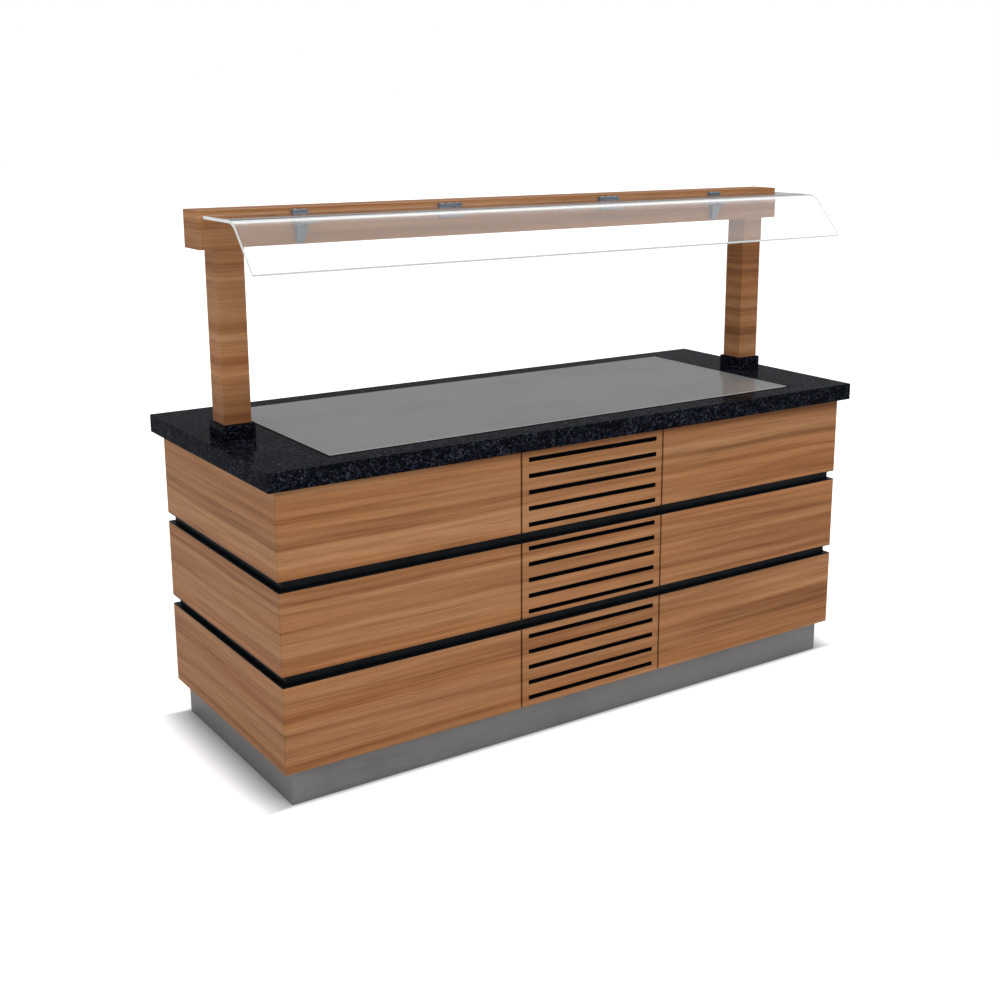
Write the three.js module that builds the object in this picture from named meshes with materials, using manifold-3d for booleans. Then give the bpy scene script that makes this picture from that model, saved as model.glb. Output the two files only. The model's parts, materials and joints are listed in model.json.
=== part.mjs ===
// A buffet counter with its sneeze guard. A timber-clad cabinet on a steel plinth carries a
// granite worktop with a chilled display plate let into it. Two clad posts stand on the
// worktop and hold a clad beam, and a bent glass canopy hangs from the beam's customer side.
//
// Millimetres, +Z up, +X along the counter. Customers stand on the -Y side and staff on the
// +Y side. The origin is on the floor under the middle of the worktop.

import * as THREE from 'three';
import { mergeVertices } from 'three/addons/utils/BufferGeometryUtils.js';
import Module from 'manifold-3d';

const wasm = await Module();
wasm.setup();

// ---------------------------------------------------------------- driving dimensions

const LENGTH = 1990; // worktop along X
const DEPTH = 806; // worktop along Y
const WORKTOP_Z = 900; // top of the granite above the floor
const WORKTOP_THICKNESS = 50;
const OVERHANG = 27; // granite past the cladding, all round

const TIERS = [
  ['bottom', 100, 335],
  ['middle', 365, 585],
  ['top', 615, 850],
]; // name, lower edge and upper edge of each band of cladding
const GAP_DEPTH = 15; // how far the shadow gaps go in behind the cladding's face
const PANEL = 19; // cladding board thickness
const DOOR = 22; // thickness of the staff side's doors and top panel

const PLINTH_HEIGHT = 100;
const PLINTH_SETBACK = 25; // plinth face behind the cladding's face

const BAY_HALF_WIDTH = 248; // technical bay, middle of each joint beside the grilles
const BAY_JOINT = 6; // open joint beside the grilles
const SLOT = { halfLength: 224, height: 13, pitch: 46, perTier: 5 };
const TOP_SLOT_DROP = 5.5; // how far the top tier's slots sit below its middle

const PLATE = { halfLength: 793, halfWidth: 324, thickness: 8, proud: 2 };
const SEAL = 6; // width of the black joint round the display plate
const SEAL_PROUD = 0.8;
const PLATE_LEDGE = 12; // granite under the edge of the plate
const TUB = { inset: 18, wall: 30, hollow: 32, bottom: 790 }; // insulated tub below the plate
const COIL = { runs: 6, halfRun: 650, pitch: 88, radius: 6, drop: 16 }; // drop: below the tub's rim

const GUARD_Y = 16; // centre line of posts and beam
const POST = { x: 906, width: 76, wall: 12, tube: 50, tubeWall: 3, foot: 650 };
const BLOCK = { width: 92, height: 40 };
const BEAM = { length: 1982, depth: 100, zLow: 1398, zHigh: 1496, wall: 12 };
const BEAM_TUBE = { depth: 72, play: 1, topPlay: 2, endPlay: 4 }; // steel inside the beam

const GLASS = {
  length: 1960,
  thickness: 8,
  topZ: 1484,
  yRear: -40,
  yBend: -200, // where the flat top ends and the bend starts
  bendRadius: 60, // outer surface
  slope: 47.5, // degrees below horizontal
  lowerEdgeZ: 1365,
};
// Bracket under the glass: a wedge that narrows downwards, an arm and a web between them
const BRACKET = { x: 717, topHalf: 19, footHalf: 10, head: 26, foot: 6, arm: 6, reach: 60, web: 6 };
const BRACKET_RISE = 4; // bracket's foot above the beam's lower face
const CLAMP = { reach: 14, height: 6.5, lowerJaw: 10, outerHalf: 22, innerHalf: 36 };
const INNER_CLAMP_X = { left: -262, right: 295 };

const SHEET = 2; // carcass and plinth steel
// Gap left between pieces that touch. A whole number of sixteenths keeps faces that should
// be flush exactly flush in 32-bit numbers.
const CLEAR = 0.3125;
const PASS = 1; // how far a cutter runs past the face it opens
const BITE = 2; // how far joined bodies run into each other

const FOOT = { x: 850, y: 280, stem: 12, pad: 28, padHeight: 10, top: 88, edge: 3 };
const LEG = { radius: 22, lowZ: 40 }; // tube under the floor that takes a foot's stem
const PLINTH_FLANGE = 20;

const STILE = 24; // hinge-side flange of a storage box
const PARTITION_STOP = 13; // flange either side of a partition that the doors close against
const PARTITION_TOP = TUB.bottom - 2;
const SILL = 13;
const TOP_FLANGE = { front: 30, end: 16 }; // ledges that the worktop lies on
const SOCKET = { width: 62, below: 8, above: 120 }; // steel box round a post tube's foot
const WINDOW = { halfWidth: 232, head: 20 }; // openings of the frame behind the grilles

const CHANNEL = 2; // sheet of the shadow gap channels
const CHANNEL_LIP = 0.5; // channel edge behind the cladding's face
const FINGER = { depth: 45, drop: 28, floor: 14, wall: 2.2, mouth: 1 }; // pocket behind the doors
const GLAND = { x: 380, z: 50, radius: 10 }; // mains cable gland in the plinth's rear wall
const DOOR_GAP = 2; // beside the end panels
const DOOR_SLOT_HALF = 214;

const COOLER = { width: 300, x: -20, frontGap: 22 }; // condenser and fan frame
const FAN = { y: -262, radius: 88, tipGap: 6, halfDepth: 22, arm: 12, armReach: 100, armDepth: 6 };
const COMPRESSOR = { x: 20, y: 130 };

// Controls let into the staff side's top panel
const CONTROLS = { x: 0, z: 732, width: 190, height: 76, plate: [240, 104], sheet: 2 };
const KNOB = { x: -62, shaft: 4.5, hole: 5 };
const SWITCH = { x: 8, width: 28, half: 9.5, depth: 12, window: [30, 24] };
const LAMP = { x: 66, hole: 6 };

// ---------------------------------------------------------------- derived places

const FACE_X = LENGTH / 2 - OVERHANG; // cladding faces
const FACE_Y = DEPTH / 2 - OVERHANG;
const UNDERSIDE = WORKTOP_Z - WORKTOP_THICKNESS;
const BODY_X = FACE_X - PANEL - CLEAR; // carcass faces behind the cladding
const BODY_FRONT = -(FACE_Y - PANEL - CLEAR);
const BODY_REAR = FACE_Y - DOOR - CLEAR;
const BODY_TOP = UNDERSIDE - CLEAR;
const BASE_Z = PLINTH_HEIGHT + CLEAR;
const FLOOR_TOP = BASE_Z + SHEET + CLEAR; // where what stands on the floor pan begins
const WALL_X = BODY_X - SHEET;
const GAPS = [
  ['lower', TIERS[0][2], TIERS[1][1]],
  ['upper', TIERS[1][2], TIERS[2][1]],
];
const DOOR_TOP = TIERS[1][2];
const CHANNEL_FLOOR = DOOR_TOP - FINGER.drop;
const PLATE_Z = WORKTOP_Z + PLATE.proud - PLATE.thickness;
const BEAM_FACE = GUARD_Y - BEAM.depth / 2 - CLEAR; // customer side
const BEAM_TUBE_Z = [BEAM.zLow + BEAM.wall + BEAM_TUBE.play, BEAM.zHigh - BEAM.wall - BEAM_TUBE.topPlay];
const COOLER_Z = FLOOR_TOP + COOLER.width / 2;
const SIDES = [
  ['left', -1],
  ['right', 1],
];

// ---------------------------------------------------------------- materials

const material = (color, roughness, metalness) =>
  new THREE.MeshStandardMaterial({ color, roughness, metalness });

const VENEER = material(0x966a46, 0.5, 0);
const GRANITE = material(0x25262c, 0.15, 0);
const SATIN_STEEL = material(0x828282, 0.25, 0.6);
const BRUSHED_STEEL = material(0x747474, 0.35, 0.9);
const BLACK_METAL = material(0x0a0a0c, 0.4, 0.3);
const GREY_METAL = material(0x8c959d, 0.4, 0.6);
const CARCASS_STEEL = material(0x6a6c6e, 0.45, 0.7);
const TUBE_STEEL = material(0x55585b, 0.5, 0.6);
const BLACK_RUBBER = material(0x101011, 0.8, 0);
const WHITE_PLASTIC = material(0xdcdcd8, 0.5, 0);
const BLACK_PLASTIC = material(0x161617, 0.45, 0);
const RED_LENS = material(0xb01010, 0.2, 0);
const COPPER = material(0xb4673c, 0.35, 0.9);
const FINS = material(0xa8acb0, 0.4, 0.8);
const CLEAR_GLASS = new THREE.MeshStandardMaterial({
  color: 0xeaf4f2,
  roughness: 0.05,
  metalness: 0,
  transparent: true,
  opacity: 0.3,
});

// ---------------------------------------------------------------- shape helpers

/** A block between the low and high limits given for each axis. */
function block([x0, x1], [y0, y1], [z0, z1]) {
  const geometry = new THREE.BoxGeometry(x1 - x0, y1 - y0, z1 - z0);
  return geometry.translate((x0 + x1) / 2, (y0 + y1) / 2, (z0 + z1) / 2);
}

/** A closed straight-sided outline, with any number of holes of the same kind. */
function outline(points, ...holes) {
  const toVectors = (list) => list.map(([u, v]) => new THREE.Vector2(u, v));
  const shape = new THREE.Shape(toVectors(points));
  for (const hole of holes) shape.holes.push(new THREE.Path(toVectors(hole)));
  return shape;
}

/** The corners of a rectangle between the given limits. */
const rectangle = ([u0, u1], [v0, v1]) => [
  [u0, v0],
  [u1, v0],
  [u1, v1],
  [u0, v1],
];

const extrude = (shape, depth, curveSegments) =>
  new THREE.ExtrudeGeometry(shape, { depth, curveSegments, bevelEnabled: false });

/** A plan outline (X, Y) carried up from z0 to z1. */
function alongZ(shape, [z0, z1]) {
  return extrude(shape, z1 - z0, 12).translate(0, 0, z0);
}

/** An elevation outline (X, Z) carried through from y0 to y1. */
function alongY(shape, [y0, y1]) {
  return extrude(shape, y1 - y0, 12).rotateX(Math.PI / 2).translate(0, y1, 0);
}

/** A section outline (Y, Z) carried along from x0 to x1. */
function alongX(shape, [x0, x1]) {
  const turned = extrude(shape, x1 - x0, 8).rotateX(Math.PI / 2).rotateZ(Math.PI / 2);
  return turned.translate(x0, 0, 0);
}

/** A solid of revolution from (radius, height) points, standing on the XY plane. */
function turned(points, segments) {
  const profile = points.map(([radius, height]) => new THREE.Vector2(radius, height));
  return new THREE.LatheGeometry(profile, segments).rotateX(Math.PI / 2);
}

/** The same, lying along +Y with its zero height at y. */
function turnedAlongY(points, segments, [x, y, z]) {
  return turned(points, segments).rotateX(-Math.PI / 2).translate(x, y, z);
}

function toSolid(geometry) {
  const bare = geometry.clone();
  bare.deleteAttribute('normal');
  bare.deleteAttribute('uv');
  const merged = mergeVertices(bare, 1e-3);
  const mesh = new wasm.Mesh({
    numProp: 3,
    vertProperties: merged.attributes.position.array,
    triVerts: new Uint32Array(merged.index.array),
  });
  return new wasm.Manifold(mesh);
}

function toGeometry(solid) {
  const { vertProperties, triVerts } = solid.getMesh();
  const geometry = new THREE.BufferGeometry();
  geometry.setAttribute('position', new THREE.BufferAttribute(vertProperties, 3));
  geometry.setIndex(new THREE.BufferAttribute(triVerts, 1));
  geometry.computeVertexNormals();
  return geometry;
}

/** Joins geometries into one body, with the seams across flush faces taken out. */
function join(...geometries) {
  const whole = geometries.map(toSolid).reduce((sum, piece) => sum.add(piece));
  return toGeometry(whole.asOriginal());
}

/** Takes the cutters out of a geometry. */
function cut(geometry, ...cutters) {
  const start = toSolid(geometry);
  const rest = cutters.map(toSolid).reduce((left, tool) => left.subtract(tool), start);
  return toGeometry(rest.asOriginal());
}

/** Limits along X on one side of the centre line, from near to far. */
const span = (side, near, far) => (side < 0 ? [-far, -near] : [near, far]);

/** Limits of a given width round a centre. */
const around = (centre, width) => [centre - width / 2, centre + width / 2];

const counter = new THREE.Group();

function add(group, name, geometry, finish) {
  const mesh = new THREE.Mesh(geometry, finish);
  mesh.name = name;
  group.add(mesh);
}

// ---------------------------------------------------------------- sneeze guard

function tubeAlongZ(width, wall, z) {
  const outer = around(0, width);
  const inner = around(0, width - 2 * wall);
  return alongZ(outline(rectangle(outer, outer), rectangle(inner, inner)), z);
}

/** A hollow section lying along X, given by its outer limits in Y and Z. */
function tubeAlongX(halfLength, [y0, y1], [z0, z1], wall) {
  const hole = rectangle([y0 + wall, y1 - wall], [z0 + wall, z1 - wall]);
  return alongX(outline(rectangle([y0, y1], [z0, z1]), hole), [-halfLength, halfLength]);
}

function buildPost(group, sideName, side) {
  const post = new THREE.Group();
  post.position.set(side * POST.x, GUARD_Y, 0);
  group.add(post);

  const blockTop = WORKTOP_Z + BLOCK.height;
  const bore = POST.width - 2 * POST.wall;
  const blockWall = (BLOCK.width - bore) / 2;
  const foot = tubeAlongZ(BLOCK.width, blockWall, [WORKTOP_Z + CLEAR, blockTop]);
  add(post, `post_block_${sideName}`, foot, GRANITE);

  const sleeve = tubeAlongZ(POST.width, POST.wall, [blockTop + CLEAR, BEAM.zLow - CLEAR]);
  add(post, `post_cladding_${sideName}`, sleeve, VENEER);
}

/** Square holes of a little over the post tubes' size, between the given heights. */
function tubeHoles(z) {
  const width = POST.tube + 4;
  return SIDES.map(([, side]) => block(around(side * POST.x, width), around(GUARD_Y, width), z));
}

/** Steel portal inside the posts and the beam: two tubes welded under a third. */
function guardFrameGeometry() {
  const [beamLow, beamHigh] = BEAM_TUBE_Z;
  const halfLength = BEAM.length / 2 - BEAM.wall - BEAM_TUBE.endPlay;
  const beamY = around(GUARD_Y, BEAM_TUBE.depth);
  const beamTube = tubeAlongX(halfLength, beamY, [beamLow, beamHigh], POST.tubeWall);
  const posts = SIDES.map(([, side]) =>
    tubeAlongZ(POST.tube, POST.tubeWall, [POST.foot, beamLow + POST.tubeWall / 2]).translate(
      side * POST.x,
      GUARD_Y,
      0,
    ),
  );
  return join(beamTube, ...posts);
}

function buildBeam(group) {
  const y = around(GUARD_Y, BEAM.depth);
  const z = [BEAM.zLow, BEAM.zHigh];
  const capInside = BEAM.length / 2 - BEAM.wall;

  const holes = tubeHoles([BEAM.zLow - PASS, BEAM.zLow + BEAM.wall + PASS]);
  const shell = tubeAlongX(capInside - CLEAR, y, z, BEAM.wall);
  add(group, 'beam_cladding', cut(shell, ...holes), VENEER);

  for (const [sideName, side] of SIDES) {
    const x = span(side, capInside, BEAM.length / 2);
    add(group, `beam_end_cap_${sideName}`, block(x, y, z), VENEER);
  }
  add(group, 'guard_frame', guardFrameGeometry(), TUBE_STEEL);
}

function glassSection() {
  const { thickness, topZ, yRear, yBend, bendRadius, slope, lowerEdgeZ } = GLASS;
  const angle = THREE.MathUtils.degToRad(slope);
  const centreZ = topZ - bendRadius;
  const innerRadius = bendRadius - thickness;
  const endAngle = Math.PI / 2 + angle;
  const bendEnd = [yBend - bendRadius * Math.sin(angle), centreZ + bendRadius * Math.cos(angle)];
  const drop = bendEnd[1] - lowerEdgeZ;
  const tip = [bendEnd[0] - drop / Math.tan(angle), lowerEdgeZ];
  const innerTip = [tip[0] + thickness * Math.sin(angle), tip[1] - thickness * Math.cos(angle)];

  const shape = new THREE.Shape();
  shape.moveTo(yRear, topZ);
  shape.lineTo(yBend, topZ);
  shape.absarc(yBend, centreZ, bendRadius, Math.PI / 2, endAngle, false);
  shape.lineTo(...tip);
  shape.lineTo(...innerTip);
  shape.absarc(yBend, centreZ, innerRadius, endAngle, Math.PI / 2, true);
  shape.lineTo(yRear, topZ - thickness);
  return shape;
}

/** A bracket on the beam's face: tapered wedge, arm under the glass, and a web. */
function bracketGeometry() {
  const { topHalf, footHalf, head, foot, arm, reach, web } = BRACKET;
  const lowZ = BEAM.zLow + BRACKET_RISE;
  const armTop = GLASS.topZ - GLASS.thickness - CLEAR;
  const tip = BEAM_FACE - reach;
  const backOutline = outline([
    [-footHalf, lowZ],
    [footHalf, lowZ],
    [topHalf, armTop],
    [-topHalf, armTop],
  ]);
  const underArm = armTop - arm;
  const lean = outline([
    [BEAM_FACE - head - PASS, lowZ - PASS],
    [BEAM_FACE - foot, lowZ - PASS],
    [BEAM_FACE - head, underArm],
    [BEAM_FACE - head - PASS, underArm],
  ]);
  const wedge = cut(
    alongY(backOutline, [BEAM_FACE - head, BEAM_FACE]),
    alongX(lean, around(0, 4 * topHalf)),
  );
  const webOutline = outline([
    [BEAM_FACE - head + BITE, armTop - 5 * arm],
    [BEAM_FACE - head - BITE, armTop - 4 * arm],
    [tip + arm, armTop - 1.5 * arm],
    [tip + arm, armTop - BITE],
    [BEAM_FACE - head + BITE, armTop - BITE],
  ]);
  return join(
    wedge,
    alongX(webOutline, around(0, web)),
    block([-topHalf, topHalf], [tip, BEAM_FACE], [underArm, armTop]),
  );
}

/** A clamp with an upper and a lower jaw, round the glass's rear edge. */
function jawClampGeometry() {
  const reach = BEAM_FACE - CLAMP.reach;
  const web = GLASS.yRear + CLEAR;
  const top = GLASS.topZ + CLAMP.height;
  const glassTop = GLASS.topZ + CLEAR;
  const glassBottom = GLASS.topZ - GLASS.thickness - CLEAR;
  const bottom = glassBottom - CLAMP.lowerJaw;
  const section = outline([
    [BEAM_FACE, top],
    [reach, top],
    [reach, glassTop],
    [web, glassTop],
    [web, glassBottom],
    [reach, glassBottom],
    [reach, bottom],
    [BEAM_FACE, bottom],
  ]);
  return alongX(section, [-CLAMP.innerHalf, CLAMP.innerHalf]);
}

function buildCanopy(group) {
  add(group, 'glass_canopy', alongX(glassSection(), around(0, GLASS.length)), CLEAR_GLASS);

  for (const [sideName, side] of SIDES) {
    const bracket = bracketGeometry().translate(side * BRACKET.x, 0, 0);
    add(group, `glass_bracket_${sideName}`, bracket, GREY_METAL);

    const padX = around(side * BRACKET.x, 2 * CLAMP.outerHalf);
    const padZ = [GLASS.topZ + CLEAR, GLASS.topZ + CLAMP.height];
    const pad = block(padX, [BEAM_FACE - CLAMP.reach, BEAM_FACE], padZ);
    add(group, `glass_clamp_outer_${sideName}`, pad, GREY_METAL);

    const jaw = jawClampGeometry().translate(INNER_CLAMP_X[sideName], 0, 0);
    add(group, `glass_clamp_inner_${sideName}`, jaw, GREY_METAL);
  }
}

// ---------------------------------------------------------------- worktop and display plate

/** A rectangle this much wider all round than the display plate. */
const roundPlate = (margin) =>
  rectangle(
    around(0, 2 * (PLATE.halfLength + margin)),
    around(0, 2 * (PLATE.halfWidth + margin)),
  );

function buildWorktop(group) {
  const edge = outline(
    rectangle(around(0, LENGTH), around(0, DEPTH)),
    roundPlate(-PLATE_LEDGE),
  );
  const rebate = alongZ(outline(roundPlate(SEAL)), [PLATE_Z - CLEAR, WORKTOP_Z + PASS]);
  const slab = alongZ(edge, [UNDERSIDE, WORKTOP_Z]);
  const holes = tubeHoles([UNDERSIDE - PASS, WORKTOP_Z + PASS]);
  add(group, 'granite_worktop', cut(slab, rebate, ...holes), GRANITE);

  const plate = alongZ(outline(roundPlate(0)), [PLATE_Z, PLATE_Z + PLATE.thickness]);
  add(group, 'display_plate', plate, SATIN_STEEL);

  const seal = outline(roundPlate(SEAL - CLEAR), roundPlate(CLEAR));
  add(group, 'plate_seal', alongZ(seal, [PLATE_Z, WORKTOP_Z + SEAL_PROUD]), BLACK_RUBBER);

  const rim = PLATE_Z - CLEAR;
  const tub = alongZ(outline(roundPlate(-TUB.inset)), [TUB.bottom, rim]);
  const hollow = alongZ(outline(roundPlate(-TUB.inset - TUB.wall)), [rim - TUB.hollow, rim + PASS]);
  add(group, 'insulated_tub', cut(tub, hollow), WHITE_PLASTIC);
  add(group, 'cooling_coil', coilGeometry(rim - COIL.drop), COPPER);
}

/** A flat serpentine of tube with straight runs along X, joined by half-turns. */
function coilGeometry(z) {
  const { runs, halfRun, pitch, radius } = COIL;
  const yStart = (-pitch * (runs - 1)) / 2;
  const turnSteps = 6;

  const points = [];
  for (let run = 0; run < runs; run++) {
    const heading = run % 2 === 0 ? 1 : -1;
    const y = yStart + run * pitch;
    points.push(new THREE.Vector3(-heading * halfRun, y, z));
    points.push(new THREE.Vector3(heading * halfRun, y, z));
    if (run === runs - 1) break;
    for (let step = 1; step < turnSteps; step++) {
      const angle = (Math.PI * step) / turnSteps;
      const x = heading * (halfRun + (pitch / 2) * Math.sin(angle));
      points.push(new THREE.Vector3(x, y + (pitch / 2) * (1 - Math.cos(angle)), z));
    }
  }
  const route = new THREE.CurvePath();
  for (let i = 1; i < points.length; i++) {
    route.add(new THREE.LineCurve3(points[i - 1], points[i]));
  }
  const section = new THREE.Shape().absarc(0, 0, radius, 0, 2 * Math.PI, false);
  return new THREE.ExtrudeGeometry(section, {
    steps: 150,
    curveSegments: 3,
    extrudePath: route,
  });
}

// ---------------------------------------------------------------- cladding

/** The slots of one tier, as rectangles in elevation. */
function slotHoles(halfLength, zLow, zHigh) {
  const middle = (zLow + zHigh) / 2;
  const first = middle - ((SLOT.perTier - 1) / 2) * SLOT.pitch;
  return Array.from({ length: SLOT.perTier }, (_, i) =>
    rectangle([-halfLength, halfLength], around(first + i * SLOT.pitch, SLOT.height)),
  );
}

function buildCladding(group) {
  const jointSide = BAY_HALF_WIDTH + BAY_JOINT / 2;
  const mitre = CLEAR; // each board stops this far short of the corner line
  const inX = FACE_X - PANEL;
  const inY = FACE_Y - PANEL;

  for (const [tier, zLow, zHigh] of TIERS) {
    const z = [zLow, zHigh - CLEAR];
    for (const [sideName, side] of SIDES) {
      const front = outline([
        [side * (FACE_X - mitre), -FACE_Y],
        [side * jointSide, -FACE_Y],
        [side * jointSide, -inY],
        [side * (inX - mitre), -inY],
      ]);
      add(group, `front_panel_${sideName}_${tier}`, alongZ(front, z), VENEER);

      const end = outline([
        [side * FACE_X, -(FACE_Y - mitre)],
        [side * FACE_X, FACE_Y],
        [side * inX, FACE_Y],
        [side * inX, -(inY - mitre)],
      ]);
      add(group, `end_panel_${sideName}_${tier}`, alongZ(end, z), VENEER);
    }

    const grilleX = around(0, 2 * BAY_HALF_WIDTH - BAY_JOINT);
    const drop = tier === 'top' ? TOP_SLOT_DROP : 0;
    const holes = slotHoles(SLOT.halfLength, zLow - drop, zHigh - drop);
    const grille = outline(rectangle(grilleX, z), ...holes);
    add(group, `front_grille_${tier}`, alongY(grille, [-FACE_Y, -inY]), VENEER);
  }
}

/** A channel lining a shadow gap along the front and both ends: web with two flanges. */
function buildShadowGaps(group) {
  const band = (inset, width, rear) => {
    const outX = FACE_X - inset;
    const outY = FACE_Y - inset;
    return outline([
      [-outX, rear],
      [-outX, -outY],
      [outX, -outY],
      [outX, rear],
      [outX - width, rear],
      [outX - width, width - outY],
      [width - outX, width - outY],
      [width - outX, rear],
    ]);
  };
  const web = band(GAP_DEPTH, PANEL - GAP_DEPTH, FACE_Y - GAP_DEPTH);
  const flange = band(CHANNEL_LIP, PANEL - CHANNEL_LIP, FACE_Y - CHANNEL_LIP);

  for (const [gapName, zLow, zHigh] of GAPS) {
    const z0 = zLow + CLEAR;
    const z1 = zHigh - CLEAR;
    const channel = join(
      alongZ(web, [z0, z1]),
      alongZ(flange, [z0, z0 + CHANNEL]),
      alongZ(flange, [z1 - CHANNEL, z1]),
    );
    add(group, `shadow_gap_channel_${gapName}`, channel, BLACK_METAL);
  }
}

// ---------------------------------------------------------------- carcass, plinth and feet

/** Section of the staff side's shadow gap, which drops to a pocket behind the doors' tops. */
function rearChannelSection() {
  const mouth = FACE_Y - FINGER.mouth;
  const back = FACE_Y - FINGER.depth;
  const ceiling = GAPS[1][2] - CLEAR;
  const { wall } = FINGER;
  return outline([
    [mouth, ceiling],
    [back, ceiling],
    [back, CHANNEL_FLOOR],
    [back + FINGER.floor, CHANNEL_FLOOR],
    [back + FINGER.floor, CHANNEL_FLOOR + wall],
    [back + wall, CHANNEL_FLOOR + wall],
    [back + wall, ceiling - wall],
    [mouth, ceiling - wall],
  ]);
}

/** Half section of a leg tube with a bore for the foot's stem, hanging under the floor. */
function legProfile() {
  const bore = FOOT.stem + CLEAR;
  return [
    [bore, LEG.lowZ],
    [LEG.radius, LEG.lowZ],
    [LEG.radius, BASE_Z + SHEET / 2],
    [0, BASE_Z + SHEET / 2],
    [0, BASE_Z - SHEET / 2],
    [bore, BASE_Z - SHEET / 2],
    [bore, LEG.lowZ],
  ];
}

/** The floor pan with its four leg tubes. */
function floorGeometry() {
  const legs = SIDES.flatMap(([, side]) =>
    [-1, 1].map((end) => turned(legProfile(), 20).translate(side * FOOT.x, end * FOOT.y, 0)),
  );
  const y = [BODY_FRONT, BODY_REAR];
  return join(block([-BODY_X, BODY_X], y, [BASE_Z, BASE_Z + SHEET]), ...legs);
}

/**
 * One storage compartment's walls in sheet steel: front, end and partition, with flanges
 * round the door opening and under the worktop, and a socket for the post's foot.
 */
function storageBoxGeometry(side) {
  const bottom = FLOOR_TOP - PASS;
  const top = BODY_TOP + PASS;
  const back = BODY_REAR + PASS;
  const partition = BAY_HALF_WIDTH + SHEET;
  const stop = BAY_HALF_WIDTH - PARTITION_STOP;
  const outside = [stop - PASS, BAY_HALF_WIDTH];
  const inside = [partition, WALL_X];
  const frontWall = BODY_FRONT + SHEET;
  const rearWall = BODY_REAR - SHEET;

  const shell = cut(
    block(span(side, stop, BODY_X), [BODY_FRONT, BODY_REAR], [FLOOR_TOP, BODY_TOP]),
    block(span(side, ...outside), [BODY_FRONT - PASS, rearWall], [bottom, top]),
    block(span(side, ...inside), [frontWall, rearWall], [bottom, BODY_TOP - SHEET]),
    block(
      span(side, partition + PARTITION_STOP, BODY_X - STILE),
      [rearWall - PASS, back],
      [FLOOR_TOP + SILL, top],
    ),
    block(
      span(side, partition - PASS, BODY_X - TOP_FLANGE.end),
      [BODY_FRONT + TOP_FLANGE.front, back],
      [BODY_TOP - SHEET - PASS, top],
    ),
    block(span(side, stop - PASS, partition + PASS), [BODY_FRONT - PASS, back], [PARTITION_TOP, top]),
  );

  const socket = block(
    span(side, POST.x - SOCKET.width / 2, WALL_X + SHEET / 2),
    around(GUARD_Y, SOCKET.width),
    [POST.foot - SOCKET.below, POST.foot + SOCKET.above],
  );
  const channelBack = FACE_Y - FINGER.depth - CLEAR;
  const channelWay = rectangle([channelBack, FACE_Y], [CHANNEL_FLOOR - CLEAR, GAPS[1][2] + PASS]);
  const tubeWay = around(0, POST.tube + 2 * CLEAR);
  const socketHole = block(tubeWay, tubeWay, [POST.foot - BITE, POST.foot + SOCKET.above + PASS]);
  return cut(
    join(shell, socket),
    alongX(outline(channelWay), [CLEAR - WALL_X, WALL_X - CLEAR]),
    socketHole.translate(side * POST.x, GUARD_Y, 0),
  );
}

/** The flat frame behind the front grilles, with one window for each. */
function bayFrameGeometry() {
  const windowX = [-WINDOW.halfWidth, WINDOW.halfWidth];
  const windows = [
    [FLOOR_TOP + SILL, GAPS[0][1]],
    [GAPS[0][2], GAPS[1][1]],
    [GAPS[1][2], BODY_TOP - WINDOW.head],
  ].map((z) => rectangle(windowX, z));
  const x = around(0, 2 * (BAY_HALF_WIDTH - CLEAR));
  const sheet = outline(rectangle(x, [FLOOR_TOP, BODY_TOP]), ...windows);
  return alongY(sheet, [BODY_FRONT, BODY_FRONT + SHEET]);
}

function footGeometry() {
  const { stem, pad, padHeight, top, edge } = FOOT;
  const profile = [
    [0, 0],
    [pad - edge, 0],
    [pad, edge],
    [pad, padHeight - edge],
    [stem, padHeight],
    [stem, top],
    [0, top],
  ];
  return turned(profile, 20);
}

function plinthGeometry() {
  const outX = FACE_X - PLINTH_SETBACK;
  const outY = FACE_Y - PLINTH_SETBACK;
  const ring = (width) =>
    outline(
      rectangle([-outX, outX], [-outY, outY]),
      rectangle([width - outX, outX - width], [width - outY, outY - width]),
    );
  const height = PLINTH_HEIGHT - CLEAR;
  const holeRadius = GLAND.radius + CLEAR;
  const glandHole = turnedAlongY(
    [
      [0, -PLINTH_FLANGE],
      [holeRadius, -PLINTH_FLANGE],
      [holeRadius, PLINTH_FLANGE],
      [0, PLINTH_FLANGE],
    ],
    20,
    [GLAND.x, outY, GLAND.z],
  );
  const flange = alongZ(ring(PLINTH_FLANGE), [height - SHEET, height]);
  return cut(join(alongZ(ring(SHEET), [0, height]), flange), glandHole);
}

/** A cable gland: a threaded body through the plinth, a hexless dome nut and a bore. */
function glandGeometry() {
  const face = FACE_Y - PLINTH_SETBACK;
  const profile = [
    [0, -24],
    [GLAND.radius, -24],
    [GLAND.radius, CLEAR],
    [15, CLEAR],
    [15, 7],
    [12.5, 8],
    [11.5, 15],
    [5, 18],
    [5, -16],
    [0, -16],
  ];
  return turnedAlongY(profile, 20, [GLAND.x, face, GLAND.z]);
}

function buildBody(group) {
  add(group, 'carcass_floor', floorGeometry(), CARCASS_STEEL);
  add(group, 'bay_front_frame', bayFrameGeometry(), CARCASS_STEEL);
  add(group, 'plinth_skirt', plinthGeometry(), BRUSHED_STEEL);
  add(group, 'cable_gland', glandGeometry(), BLACK_PLASTIC);
  for (const [sideName, side] of SIDES) {
    add(group, `storage_box_${sideName}`, storageBoxGeometry(side), CARCASS_STEEL);
    for (const [endName, end] of [['front', -1], ['rear', 1]]) {
      const foot = footGeometry().translate(side * FOOT.x, end * FOOT.y, 0);
      add(group, `levelling_foot_${endName}_${sideName}`, foot, BLACK_PLASTIC);
    }
  }
}

// ---------------------------------------------------------------- staff side

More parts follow.
